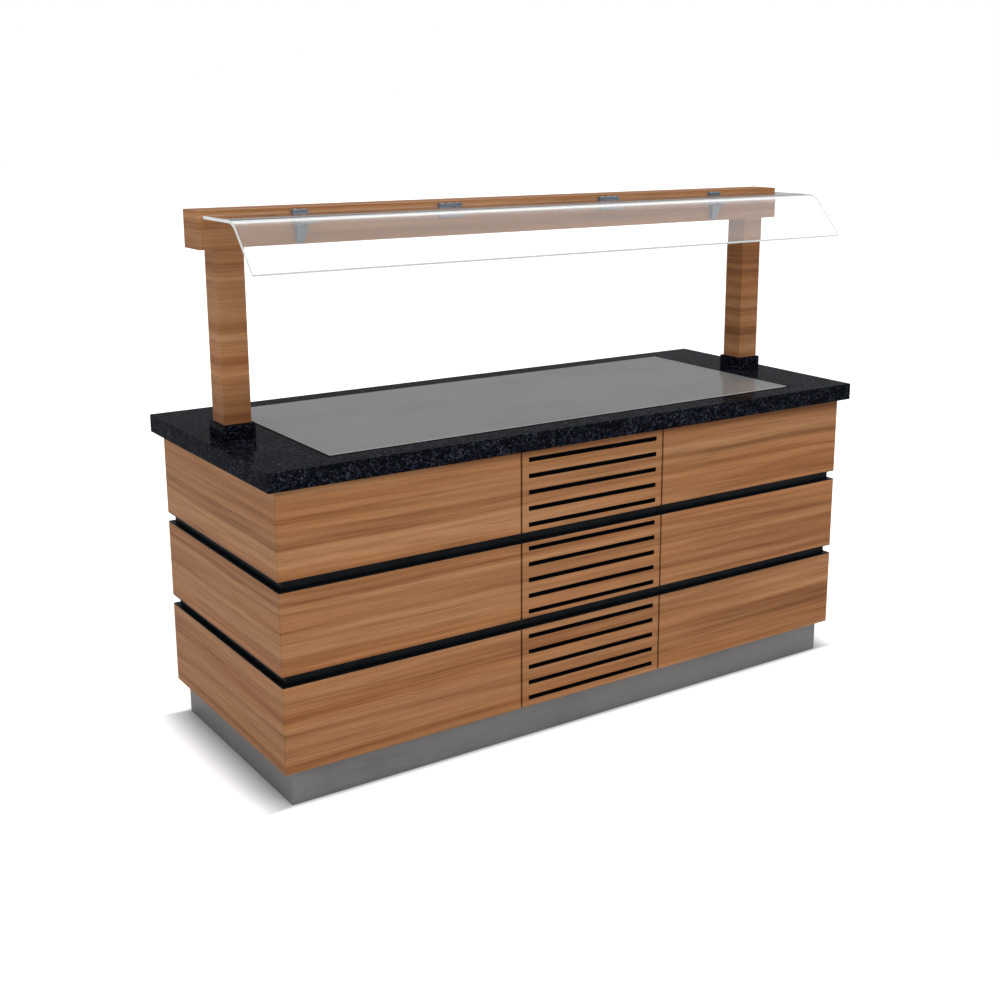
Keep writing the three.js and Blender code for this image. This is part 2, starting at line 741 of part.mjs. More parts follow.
/** The groove that carries the lower shadow gap across a door. */
function doorGroove([x0, x1]) {
  const [, zLow, zHigh] = GAPS[0];
  return block([x0 - PASS, x1 + PASS], [FACE_Y - GAP_DEPTH, FACE_Y + PASS], [zLow, zHigh]);
}

function buildStaffSide(group) {
  const y = [FACE_Y - DOOR, FACE_Y];
  const openingX = FACE_X - PANEL - DOOR_GAP;
  const z = [TIERS[0][1], DOOR_TOP];

  const [, topLow, topHigh] = TIERS[2];
  const { x: controlX, z: controlZ, width, height } = CONTROLS;
  const topPanel = outline(
    rectangle([-openingX, openingX], [topLow, topHigh - CLEAR]),
    rectangle(around(controlX, width), around(controlZ, height)),
  );
  add(group, 'rear_top_panel', alongY(topPanel, y), VENEER);

  const channel = alongX(rearChannelSection(), around(0, 2 * (WALL_X - 2 * CLEAR)));
  add(group, 'rear_finger_channel', channel, BLACK_METAL);

  for (const [sideName, side] of SIDES) {
    const x = span(side, BAY_HALF_WIDTH + BAY_JOINT / 2, openingX);
    add(group, `storage_door_${sideName}`, cut(block(x, y, z), doorGroove(x)), VENEER);
  }

  const x = around(0, 2 * BAY_HALF_WIDTH - BAY_JOINT);
  const holes = [TIERS[0], TIERS[1]].flatMap(([, zLow, zHigh]) =>
    slotHoles(DOOR_SLOT_HALF, zLow, zHigh),
  );
  const leaf = alongY(outline(rectangle(x, z), ...holes), y);
  add(group, 'service_door', cut(leaf, doorGroove(x)), VENEER);
}

function buildControls(group) {
  const { x, z } = CONTROLS;
  const plateBack = FACE_Y + CLEAR;
  const plateFace = plateBack + CONTROLS.sheet;

  const plate = outline(
    rectangle(around(x, CONTROLS.plate[0]), around(z, CONTROLS.plate[1])),
    rectangle(around(SWITCH.x, SWITCH.window[0]), around(z, SWITCH.window[1])),
  );
  for (const { x: holeX, hole } of [KNOB, LAMP]) {
    plate.holes.push(new THREE.Path().absarc(holeX, z, hole, 0, 2 * Math.PI, false));
  }
  add(group, 'control_plate', alongY(plate, [plateBack, plateFace]), BRUSHED_STEEL);

  const knob = turnedAlongY(
    [
      [0, -22],
      [KNOB.shaft, -22],
      [KNOB.shaft, 0.6],
      [21, 0.6],
      [21, 4],
      [19, 15],
      [17, 17],
      [0, 17],
    ],
    24,
    [KNOB.x, plateFace, z],
  );
  const pointer = block(around(KNOB.x, 4), [plateFace + 8, plateFace + 19], [z, z + 18]);
  add(group, 'thermostat_knob', join(knob, pointer), BLACK_PLASTIC);

  const rocker = outline([
    [plateFace - SWITCH.depth, z - SWITCH.half],
    [plateFace + 1.5, z - SWITCH.half],
    [plateFace + 2.5, z],
    [plateFace + 5, z + SWITCH.half],
    [plateFace - SWITCH.depth, z + SWITCH.half],
  ]);
  add(group, 'power_switch', alongX(rocker, around(SWITCH.x, SWITCH.width)), BLACK_PLASTIC);

  const lens = turnedAlongY(
    [
      [0, -14],
      [5.6, -14],
      [5.6, 0.4],
      [7.5, 0.4],
      [7.5, 1.6],
      [5.2, 4.4],
      [0, 5.6],
    ],
    20,
    [LAMP.x, plateFace, z],
  );
  add(group, 'pilot_lamp', lens, RED_LENS);
}

// ---------------------------------------------------------------- cooling unit

/** Square duct with the fan's round throat, and its motor on a cross of arms behind it. */
function fanShroudGeometry() {
  const square = [around(COOLER.x, COOLER.width), around(COOLER_Z, COOLER.width)];
  const throat = FAN.radius + FAN.tipGap;
  const outside = outline(rectangle(...square));
  outside.holes.push(new THREE.Path().absarc(COOLER.x, COOLER_Z, throat, 0, 2 * Math.PI, false));
  const rear = FAN.y + FAN.halfDepth;
  const duct = alongY(outside, [FAN.y - FAN.halfDepth, rear]);

  const armY = [rear - FAN.armDepth, rear];
  const across = around(COOLER.x, 2 * FAN.armReach);
  const upright = around(COOLER_Z, 2 * FAN.armReach);
  const motor = turnedAlongY(
    [
      [0, 16],
      [34, 16],
      [36, 20],
      [36, 58],
      [30, 66],
      [0, 66],
    ],
    20,
    [COOLER.x, FAN.y, COOLER_Z],
  );
  return join(
    duct,
    block(across, armY, around(COOLER_Z, FAN.arm)),
    block(around(COOLER.x, FAN.arm), armY, upright),
    motor,
  );
}

function fanRotorGeometry() {
  const bladePitch = THREE.MathUtils.degToRad(28);
  const bladeCount = 5;
  const hub = turnedAlongY(
    [
      [0, -18],
      [24, -18],
      [28, -12],
      [28, 12],
      [0, 12],
    ],
    20,
    [0, 0, 0],
  );
  const blades = Array.from({ length: bladeCount }, (_, i) => {
    const blade = block([-26, 26], [-1.5, 1.5], [22, FAN.radius]);
    blade.rotateZ(bladePitch);
    return blade.rotateY((2 * Math.PI * i) / bladeCount);
  });
  return join(hub, ...blades).translate(COOLER.x, FAN.y, COOLER_Z);
}

/** A block of finned tube, grooved on the side that the air enters. */
function condenserGeometry() {
  const count = 14;
  const pitch = 20;
  const margin = 10;
  const frontY = BODY_FRONT + COOLER.frontGap;
  const y = [frontY, FAN.y - FAN.halfDepth - CLEAR];
  const core = block(around(COOLER.x, COOLER.width), y, around(COOLER_Z, COOLER.width));
  const grooveZ = around(COOLER_Z, COOLER.width - 2 * margin);
  const grooves = Array.from({ length: count }, (_, i) => {
    const grooveX = COOLER.x + (i - (count - 1) / 2) * pitch;
    return block(around(grooveX, 8), [frontY - PASS, frontY + margin], grooveZ);
  });
  return cut(core, ...grooves);
}

function buildCoolingUnit(group) {
  add(group, 'condenser', condenserGeometry(), FINS);
  add(group, 'fan_shroud', fanShroudGeometry(), BLACK_METAL);
  add(group, 'fan_rotor', fanRotorGeometry(), BLACK_PLASTIC);

  const shell = turned(
    [
      [0, 0],
      [60, 0],
      [60, 12],
      [84, 20],
      [90, 34],
      [90, 120],
      [78, 156],
      [46, 176],
      [0, 182],
    ],
    24,
  );
  shell.translate(COMPRESSOR.x, COMPRESSOR.y, FLOOR_TOP);
  add(group, 'compressor', shell, BLACK_METAL);
}

// ---------------------------------------------------------------- assembly

const guard = new THREE.Group();
buildBeam(guard);
for (const [sideName, side] of SIDES) buildPost(guard, sideName, side);
buildCanopy(guard);
counter.add(guard);

const cabinet = new THREE.Group();
buildWorktop(cabinet);
buildCladding(cabinet);
buildShadowGaps(cabinet);
buildBody(cabinet);
buildStaffSide(cabinet);
buildControls(cabinet);
buildCoolingUnit(cabinet);
counter.add(cabinet);

export default counter;
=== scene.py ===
"""Buffet counter with its sneeze guard: finishes, fittings, light and camera round the frame.

Metres, +Z up, customers on the -Y side and staff on the +Y side.
"""

import json
import math

import bmesh
import bpy
from mathutils import Euler, Matrix, Vector


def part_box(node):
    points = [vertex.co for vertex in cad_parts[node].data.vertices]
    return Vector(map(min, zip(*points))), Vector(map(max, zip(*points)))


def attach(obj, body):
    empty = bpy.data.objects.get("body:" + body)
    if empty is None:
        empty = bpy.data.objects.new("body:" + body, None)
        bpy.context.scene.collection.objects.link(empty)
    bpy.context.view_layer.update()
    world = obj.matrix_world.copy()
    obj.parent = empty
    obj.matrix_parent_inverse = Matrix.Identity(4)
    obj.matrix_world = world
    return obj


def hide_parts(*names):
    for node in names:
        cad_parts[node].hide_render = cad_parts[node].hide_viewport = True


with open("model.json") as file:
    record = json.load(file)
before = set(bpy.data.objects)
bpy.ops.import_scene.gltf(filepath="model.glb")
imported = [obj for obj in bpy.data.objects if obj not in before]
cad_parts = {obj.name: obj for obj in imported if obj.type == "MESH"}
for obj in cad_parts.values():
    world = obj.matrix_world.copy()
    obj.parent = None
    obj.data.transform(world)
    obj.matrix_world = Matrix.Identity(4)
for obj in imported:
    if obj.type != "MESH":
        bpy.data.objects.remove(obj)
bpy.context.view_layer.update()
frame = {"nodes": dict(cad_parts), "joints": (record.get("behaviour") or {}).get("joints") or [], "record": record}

MM = 0.001
SCENE = bpy.context.scene
NODES = frame["nodes"]
SIDES = ("left", "right")


# ---------------------------------------------------------------- finishes


def srgb(red, green, blue):
    """A colour given as 0-255 screen values, in linear light."""

    def linear(value):
        value /= 255
        return value / 12.92 if value <= 0.04045 else ((value + 0.055) / 1.055) ** 2.4

    return (linear(red), linear(green), linear(blue), 1.0)


class Finish:
    """A material, with short calls for the nodes that the finishes are made of."""

    def __init__(self, name, **sockets):
        self.material = bpy.data.materials.new(name)
        self.material.use_nodes = True
        self.nodes = self.material.node_tree.nodes
        self.links = self.material.node_tree.links
        self.shader = self.nodes["Principled BSDF"]
        self.set(self.shader, sockets)
        self.place = self.add("TexCoord")

    def set(self, node, sockets):
        for name, value in sockets.items():
            socket = node.inputs[name.replace("_", " ") if isinstance(name, str) else name]
            if isinstance(value, bpy.types.NodeSocket):
                self.links.new(value, socket)
            else:
                socket.default_value = value

    def add(self, kind, sockets=None, **settings):
        node = self.nodes.new("ShaderNode" + kind)
        for name, value in settings.items():
            setattr(node, name, value)
        self.set(node, sockets or {})
        return node

    def math(self, operation, first, second=0.0):
        node = self.add("Math", operation=operation)
        for socket, value in zip(node.inputs, (first, second)):
            if isinstance(value, bpy.types.NodeSocket):
                self.links.new(value, socket)
            else:
                socket.default_value = value
        return node.outputs["Value"]

    def stretched(self, scale, vector=None):
        """Object coordinates, in metres, multiplied by a scale for each axis."""
        source = vector or self.place.outputs["Object"]
        return self.add("Mapping", {"Vector": source, "Scale": scale}).outputs["Vector"]

    def noise(self, vector, scale=1.0, detail=2.0, roughness=0.5):
        sockets = {"Vector": vector, "Scale": scale, "Detail": detail, "Roughness": roughness}
        return self.add("TexNoise", sockets).outputs["Fac"]

    def ramp(self, factor, *stops):
        """Colours or greys at positions along a factor."""
        node = self.add("ValToRGB", {"Fac": factor})
        elements = node.color_ramp.elements
        ends = (elements[0], elements[1])
        for element, (position, colour) in zip(ends, (stops[0], stops[-1])):
            element.position = position
            element.color = colour
        for position, colour in stops[1:-1]:
            elements.new(position).color = colour
        return node.outputs["Color"]

    def multiply(self, factor, first, second):
        """Two colours multiplied, in part or in full."""
        node = self.add("MixRGB", blend_type="MULTIPLY")
        for name, value in (("Fac", factor), ("Color1", first), ("Color2", second)):
            self.set(node, {name: value})
        return node.outputs["Color"]

    def relief(self, height, distance, strength):
        sockets = {"Height": height, "Distance": distance, "Strength": strength}
        self.set(self.shader, {"Normal": self.add("Bump", sockets).outputs["Normal"]})


def grey(value):
    return (value, value, value, 1.0)


def veneer():
    """Satin teak veneer. The grain lies along the boards and carries on round their corners."""
    finish = Finish("veneer", Specular_IOR_Level=0.07)
    axes = finish.add("SeparateXYZ", {"Vector": finish.place.outputs["Object"]}).outputs
    normal = finish.add("SeparateXYZ", {"Vector": finish.place.outputs["Normal"]}).outputs
    level = finish.math("GREATER_THAN", finish.math("ABSOLUTE", normal["Z"]), 0.7)
    upright = finish.math("SUBTRACT", 1.0, level)
    around = finish.math("ADD", axes["X"], finish.math("MULTIPLY", axes["Y"], upright))
    across = finish.math(
        "ADD",
        finish.math("MULTIPLY", axes["Z"], upright),
        finish.math("MULTIPLY", axes["Y"], level),
    )
    board = finish.add("CombineXYZ", {"X": around, "Z": across}).outputs["Vector"]
    drift = finish.math("SUBTRACT", finish.noise(finish.stretched((1.7, 1, 5), board)), 0.5)
    bent = finish.math("ADD", across, finish.math("MULTIPLY", drift, 0.014))
    grain = finish.add("CombineXYZ", {"X": around, "Z": bent}).outputs["Vector"]

    broad = finish.noise(finish.stretched((0.55, 1, 34), grain), detail=4.0, roughness=0.58)
    tone = finish.ramp(
        broad,
        (0.28, srgb(106, 65, 38)),
        (0.42, srgb(137, 92, 58)),
        (0.50, srgb(150, 104, 68)),
        (0.58, srgb(159, 113, 76)),
        (0.72, srgb(174, 129, 90)),
    )
    warm = finish.noise(finish.stretched((0.5, 1, 11), grain), detail=2.0)
    warmth = finish.ramp(warm, (0.38, (1.0, 0.93, 0.86, 1.0)), (0.62, (0.97, 1.0, 1.03, 1.0)))
    tone = finish.multiply(1.0, tone, warmth)
    streaks = finish.noise(finish.stretched((4.0, 1, 210), grain), detail=3.0, roughness=0.6)
    lines = finish.ramp(streaks, (0.30, grey(0.70)), (0.50, grey(0.98)), (0.72, grey(1.10)))
    tone = finish.multiply(0.9, tone, lines)
    pores = finish.noise(finish.stretched((26, 1, 1500), grain), detail=2.0)
    specks = finish.ramp(pores, (0.30, grey(0.72)), (0.42, grey(1.0)))
    tone = finish.multiply(0.55, tone, specks)
    rough = finish.ramp(streaks, (0.3, grey(0.52)), (0.7, grey(0.40)))
    finish.set(finish.shader, {"Base_Color": tone, "Roughness": rough})
    finish.relief(finish.math("ADD", pores, streaks), 0.00012, 0.6)
    return finish.material


def granite():
    """Polished black granite with blue-grey crystals 2 to 5 mm across."""
    finish = Finish("granite", Specular_IOR_Level=0.005)
    coarse = finish.add("TexVoronoi", {"Scale": 205.0, "Randomness": 1.0})
    finish.set(coarse, {"Vector": finish.place.outputs["Object"]})
    fine = finish.add("TexVoronoi", {"Scale": 480.0, "Randomness": 1.0})
    finish.set(fine, {"Vector": finish.place.outputs["Object"]})
    crystal = finish.add("SeparateXYZ", {"Vector": coarse.outputs["Color"]}).outputs["X"]
    grainlet = finish.add("SeparateXYZ", {"Vector": fine.outputs["Color"]}).outputs["Y"]
    clouds = finish.noise(finish.place.outputs["Object"], scale=26.0, detail=3.0)
    crystals = finish.math("MULTIPLY", crystal, 0.55)
    grainlets = finish.math("MULTIPLY", grainlet, 0.27)
    mixed = finish.math("ADD", crystals, grainlets)
    mixed = finish.math("ADD", mixed, finish.math("MULTIPLY", clouds, 0.36))
    tone = finish.ramp(
        mixed,
        (0.30, srgb(6, 7, 10)),
        (0.58, srgb(10, 12, 17)),
        (0.74, srgb(22, 24, 32)),
        (0.88, srgb(41, 44, 53)),
        (0.98, srgb(64, 66, 72)),
    )
    rough = finish.ramp(mixed, (0.4, grey(0.10)), (0.9, grey(0.22)))
    finish.set(finish.shader, {"Base_Color": tone, "Roughness": rough})
    finish.relief(grainlet, 0.00002, 0.4)
    return finish.material


def satin_plate():
    """Smooth grey steel with faint hairlines, the chilled surface."""
    finish = Finish("satin_plate", Specular_IOR_Level=0.12)
    lines = finish.noise(finish.stretched((9, 900, 60)), detail=2.0)
    clouds = finish.noise(finish.stretched((3, 5, 3)), detail=3.0)
    tone = finish.ramp(finish.math("ADD", lines, clouds), (0.7, grey(0.163)), (1.3, grey(0.192)))
    rough = finish.ramp(lines, (0.3, grey(0.10)), (0.7, grey(0.17)))
    finish.set(finish.shader, {"Base_Color": tone, "Roughness": rough})
    finish.relief(lines, 0.00001, 0.5)
    return finish.material


def glass_edge_painted_glow():
    """Ground edge of the glass: pale, frosted and slightly green, with a faint painted glow from a white emission.
    """
    finish = Finish("glass_edge_painted_glow", IOR=1.5, Transmission_Weight=0.3, Emission_Strength=0.12)
    # The white emission is a painted glow along the glass's edges.
    finish.set(finish.shader, {"Emission_Color": grey(1.0)})
    grind = finish.noise(finish.stretched((60, 1800, 1800)), detail=2.0)
    tone = finish.ramp(grind, (0.3, srgb(206, 211, 210)), (0.7, srgb(226, 230, 229)))
    rough = finish.ramp(grind, (0.3, grey(0.35)), (0.7, grey(0.5)))
    finish.set(finish.shader, {"Base_Color": tone, "Roughness": rough})
    return finish.material


def clear_glass():
    """Tempered glass with a faint tint, as one plain shader."""
    finish = Finish(
        "clear_glass",
        Base_Color=(0.93, 0.94, 0.943, 1.0),
        Roughness=0.0,
        IOR=1.5,
        Specular_IOR_Level=0.36,
        Transmission_Weight=0.985,
    )
    return finish.material


def brushed(name, dark, light, along, roughness, metallic):
    """Sheet metal with hairlines along one axis and faint clouding."""
    finish = Finish(name, Metallic=metallic)
    scale = [1400.0, 1400.0, 1400.0]
    scale["XYZ".index(along)] = 12.0
    lines = finish.noise(finish.stretched(scale), detail=2.0)
    clouds = finish.noise(finish.stretched((4, 4, 9)), detail=3.0)
    mixed = finish.math("ADD", lines, clouds)
    tone = finish.ramp(mixed, (0.72, dark), (1.28, light))
    rough = finish.ramp(lines, (0.3, grey(roughness - 0.06)), (0.7, grey(roughness + 0.08)))
    finish.set(finish.shader, {"Base_Color": tone, "Roughness": rough})
    finish.relief(lines, 0.00002, 0.5)
    return finish.material


COAT_RELIEF = 0.06 * MM


def coated(name, dark, light, roughness, scale=900.0, level=0.35):
    """Powder coat, moulded plastic or rubber: a fine-grained skin with slightly worn tone."""
    finish = Finish(name, Specular_IOR_Level=level)
    grain = finish.noise(finish.place.outputs["Object"], scale=scale, detail=2.0)
    wear = finish.noise(finish.place.outputs["Object"], scale=24.0, detail=4.0, roughness=0.6)
    tone = finish.ramp(wear, (0.35, dark), (0.68, light))
    rough = finish.ramp(wear, (0.35, grey(roughness + 0.07)), (0.68, grey(roughness - 0.05)))
    finish.set(finish.shader, {"Base_Color": tone, "Roughness": rough})
    finish.relief(grain, COAT_RELIEF, 0.5)
    return finish.material


def galvanised(name, dark, light):
    """Zinc-coated sheet with spangles."""
    finish = Finish(name, Metallic=0.85)
    spangle = finish.add("TexVoronoi", {"Scale": 55.0})
    finish.set(spangle, {"Vector": finish.place.outputs["Object"]})
    flake = finish.add("SeparateXYZ", {"Vector": spangle.outputs["Color"]}).outputs["X"]
    clouds = finish.noise(finish.place.outputs["Object"], scale=7.0, detail=3.0)
    mixed = finish.math("ADD", finish.math("MULTIPLY", flake, 0.5), clouds)
    tone = finish.ramp(mixed, (0.4, dark), (1.1, light))
    rough = finish.ramp(flake, (0.0, grey(0.34)), (1.0, grey(0.52)))
    finish.set(finish.shader, {"Base_Color": tone, "Roughness": rough})
    return finish.material


def red_lens():
    finish = Finish("red_lens", IOR=1.49, Specular_IOR_Level=0.5)
    facets = finish.add("TexVoronoi", {"Scale": 900.0})
    finish.set(facets, {"Vector": finish.place.outputs["Object"]})
    ring = facets.outputs["Distance"]
    tone = finish.ramp(ring, (0.0, srgb(190, 22, 16)), (0.7, srgb(116, 8, 8)))
    rough = finish.ramp(ring, (0.0, grey(0.12)), (0.7, grey(0.2)))
    finish.set(finish.shader, {"Base_Color": tone, "Roughness": rough})
    finish.relief(ring, 0.0002, 0.6)
    return finish.material


FINISHES = {
    "veneer": veneer(),
    "granite": granite(),
    "satin_plate": satin_plate(),
    "clear_glass": clear_glass(),
    "brushed_steel": brushed("brushed_steel", grey(0.14), grey(0.185), "X", 0.42, 0.55),
    "grey_metal": brushed("grey_metal", srgb(84, 92, 103), srgb(110, 119, 130), "Z", 0.4, 0.35),
    "tube_steel": brushed("tube_steel", grey(0.10), grey(0.16), "Z", 0.45, 0.8),
    "copper": brushed("copper", srgb(150, 84, 50), srgb(205, 128, 84), "X", 0.3, 0.95),
    "fins": brushed("fins", grey(0.36), grey(0.48), "Z", 0.38, 0.9),
    "carcass_steel": galvanised("carcass_steel", grey(0.17), grey(0.34)),
    "black_metal": coated(
        "black_metal", srgb(4, 7, 10), srgb(11, 15, 19), 0.42, scale=1500.0, level=0.1
    ),
    "black_shell": coated("black_shell", srgb(12, 12, 14), srgb(27, 27, 30), 0.35, scale=700.0),
    "black_plastic": coated("black_plastic", srgb(18, 18, 19), srgb(30, 30, 31), 0.45),
    "black_rubber": coated(
        "black_rubber", srgb(5, 5, 6), srgb(13, 13, 14), 0.75, scale=600.0, level=0.1
    ),
    "white_plastic": coated("white_plastic", srgb(196, 197, 192), srgb(226, 226, 221), 0.5),
    "red_lens": red_lens(),
}
BRIGHT_STEEL = brushed("bright_steel", grey(0.42), grey(0.58), "X", 0.26, 1.0)
MARKING_WHITE = coated("marking_white", srgb(206, 206, 200), srgb(232, 232, 228), 0.55)

for subpart in frame["record"]["subparts"]:
    mesh = NODES[subpart["node"]].data
    mesh.materials.clear()
    mesh.materials.append(FINISHES[subpart["material_slot"]])


# ---------------------------------------------------------------- softened CAD edges

EDGE = {
    "veneer": 0.35 * MM,
    "granite": 1.5 * MM,
    "satin_plate": 2.5 * MM,
    "brushed_steel": 0.5 * MM,
    "grey_metal": 0.8 * MM,
    "black_plastic": 0.6 * MM,
    "black_rubber": 0.2 * MM,
}
SHARP_FROM = math.radians(40)


def soften(node, width):
    """Rounds the sharp edges of a CAD piece, after the triangles on flat faces are joined."""
    obj = NODES[node]
    weld = obj.modifiers.new("weld", "WELD")
    weld.merge_threshold = 0.01 * MM
    flatten = obj.modifiers.new("flatten", "DECIMATE")
    flatten.decimate_type = "DISSOLVE"
    flatten.angle_limit = math.radians(0.5)
    bevel = obj.modifiers.new("edges", "BEVEL")
    bevel.width = width
    bevel.segments = 2
    bevel.limit_method = "ANGLE"
    bevel.angle_limit = SHARP_FROM
    bevel.use_clamp_overlap = True


for subpart in frame["record"]["subparts"]:
    if subpart["material_slot"] in EDGE:
        soften(subpart["node"], EDGE[subpart["material_slot"]])

# The plate's rim is painted brighter than its face: a painted highlight along its bevelled edge.
PAINTED_RIM_HIGHLIGHT = brushed("plate_rim_painted_highlight", grey(0.22), grey(0.30), "X", 0.35, 0.2)
NODES["display_plate"].data.materials.append(PAINTED_RIM_HIGHLIGHT)
NODES["display_plate"].modifiers["edges"].material = 1


# ---------------------------------------------------------------- piece building

# Turns that stand a shape made along Z on another axis.
AXES = {
    "X": Matrix.Rotation(math.pi / 2, 4, "Y"),
    "Y": Matrix.Rotation(-math.pi / 2, 4, "X"),
    "Z": Matrix.Identity(4),
}
CORNER_STEPS = 6


def rounded(points, radius):
    """A polyline with its corners turned into arcs of about the given radius."""
    points = [Vector(point) for point in points]
    route = [points[0]]
    for before, corner, after in zip(points, points[1:], points[2:]):
        back = before - corner
        ahead = after - corner
        reach = min(radius, back.length / 2, ahead.length / 2)
        start = corner + back.normalized() * reach
        end = corner + ahead.normalized() * reach
        for step in range(CORNER_STEPS + 1):
            t = step / CORNER_STEPS
            route.append(start * (1 - t) ** 2 + corner * 2 * t * (1 - t) + end * t**2)
    route.append(points[-1])
    return route


class Shape:
    """Closed surfaces gathered into one mesh, in the frame's own coordinates."""

    def __init__(self):
        self.mesh = bmesh.new()

    def rings(self, rings, closed=True):
        """Skins a run of equal rings of points and caps both ends."""
        made = [[self.mesh.verts.new(point) for point in ring] for ring in rings]
        count = len(made[0])
        for low, high in zip(made, made[1:]):
            for i in range(count):
                j = (i + 1) % count
                self.mesh.faces.new((low[i], low[j], high[j], high[i]))
        if closed:
            self.mesh.faces.new(made[0])
            self.mesh.faces.new(made[-1])
        return self

    def prism(self, points, axis, low, high):
        """An outline carried along an axis. Its points lie in the other two, in X-Y-Z order."""
        spot = {
            "X": lambda u, v, w: (w, u, v),
            "Y": lambda u, v, w: (u, w, v),
            "Z": lambda u, v, w: (u, v, w),
        }[axis]
        return self.rings([[spot(u, v, w) for u, v in points] for w in (low, high)])

    def block(self, x, y, z):
        corners = [(x[0], y[0]), (x[1], y[0]), (x[1], y[1]), (x[0], y[1])]
        return self.prism(corners, "Z", *z)

    def turned(self, profile, centre, axis="Z", sides=32, ripple=None, closed=True):
        """A solid of revolution from (radius, height) points along an axis."""
        turn = Matrix.Translation(centre) @ AXES[axis]
        rings = []
        for radius, height in profile:
            radius = max(radius, 0.01 * MM)
            ring = []
            for i in range(sides):
                angle = 2 * math.pi * i / sides
                here = radius * (ripple(angle, radius, height) if ripple else 1)
                ring.append(turn @ Vector((here * math.cos(angle), here * math.sin(angle), height)))
            rings.append(ring)
        return self.rings(rings, closed)

    def tube(self, points, radius, sides, loop=False):
        """A round bar along a run of points. A loop closes on itself."""
        points = [Vector(point) for point in points]
        count = len(points)
        side = None
        rings = []
        for i, point in enumerate(points):
            if loop:
                ahead = points[(i + 1) % count] - points[i - 1]
            else:
                ahead = points[min(i + 1, count - 1)] - points[max(i - 1, 0)]
            ahead.normalize()
            if side is None:
                side = ahead.orthogonal().normalized()
            side = (side - ahead * side.dot(ahead)).normalized()
            third = ahead.cross(side)
            ring = []
            for k in range(sides):
                angle = 2 * math.pi * k / sides
                outward = side * math.cos(angle) + third * math.sin(angle)
                ring.append(point + outward * radius)
            rings.append(ring)
        if loop:
            rings.append(rings[0])
        return self.rings(rings, closed=not loop)

    def piece(self, name, body, slot=None, finish=None, smooth=35, bevel=0.0, stands_for=()):
        """Ends the shape as a shown piece that rides on a body."""
        bmesh.ops.remove_doubles(self.mesh, verts=self.mesh.verts, dist=0.002 * MM)
        bmesh.ops.recalc_face_normals(self.mesh, faces=self.mesh.faces)
        mesh = bpy.data.meshes.new(name)
        self.mesh.to_mesh(mesh)
        self.mesh.free()
        mesh.materials.append(finish or FINISHES[slot])
        mesh.shade_smooth()
        mesh.set_sharp_from_angle(angle=math.radians(smooth))
        obj = bpy.data.objects.new(name, mesh)
        SCENE.collection.objects.link(obj)
        if bevel:
            rounding = obj.modifiers.new("edges", "BEVEL")
            rounding.width = bevel
            rounding.segments = 2
            rounding.limit_method = "ANGLE"
            rounding.angle_limit = math.radians(smooth)
            rounding.harden_normals = True
        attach(obj, body)
        if stands_for:
            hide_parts(*stands_for)
        return obj


def circle(centre, radius, axis, count=48):
    turn = Matrix.Translation(centre) @ AXES[axis]
    angles = (2 * math.pi * i / count for i in range(count))
    return [turn @ Vector((radius * math.cos(a), radius * math.sin(a), 0)) for a in angles]


def middle(node):
    low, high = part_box(node)
    return (low + high) / 2


# ---------------------------------------------------------------- glass canopy

GLASS_THICKNESS = 8 * MM
GLASS_BEND = 60 * MM
GLASS_SLOPE = math.radians(47.5)
GLASS_FLAT_END = -200 * MM
GLASS_EDGE = 1.2 * MM
BEND_STEPS = 24


def glass_section():
    """Outline of the bent sheet in Y and Z, from its rear edge round and back."""
    low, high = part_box("glass_canopy")
    centre_z = high.z - GLASS_BEND
    sheet = []
    for radius in (GLASS_BEND, GLASS_BEND - GLASS_THICKNESS):
        arc = []
        for step in range(BEND_STEPS + 1):
            angle = math.pi / 2 + GLASS_SLOPE * step / BEND_STEPS
            y = GLASS_FLAT_END + radius * math.cos(angle)
            z = centre_z + radius * math.sin(angle)
            arc.append((y, z))
        sheet.append(arc)
    outer, inner = sheet
    run = (low.y - outer[-1][0]) / math.cos(GLASS_SLOPE)
    tip = (low.y, outer[-1][1] + run * math.sin(GLASS_SLOPE))
    inner_tip = (
        tip[0] + GLASS_THICKNESS * math.sin(GLASS_SLOPE),
        tip[1] - GLASS_THICKNESS * math.cos(GLASS_SLOPE),
    )
    rear = [(high.y, high.z), (high.y, high.z - GLASS_THICKNESS)]
    return [rear[0], *outer, tip, inner_tip, *reversed(inner), rear[1]]


def build_canopy():
    """The sheet, with ground ends, lower edge and rear edge."""
    low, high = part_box("glass_canopy")
    shape = Shape().prism(glass_section(), "X", low.x, high.x)
    sheet = shape.piece(
        "canopy_sheet",
        "counter",
        "clear_glass",
        smooth=25,
        bevel=GLASS_EDGE,
        stands_for=["glass_canopy"],
    )
    # Second finish: the ground edge, with its faint painted glow.
    sheet.data.materials.append(glass_edge_painted_glow())
    sheet.modifiers["edges"].material = 1
    for face in sheet.data.polygons:
        narrow = face.area < 1.5 * GLASS_THICKNESS * (high.x - low.x)
        at_rim = face.center.z < low.z + GLASS_THICKNESS or face.center.y > high.y - 1 * MM
        if abs(face.normal.x) > 0.9 or (narrow and at_rim):
            face.material_index = 1


build_canopy()


# ---------------------------------------------------------------- screws


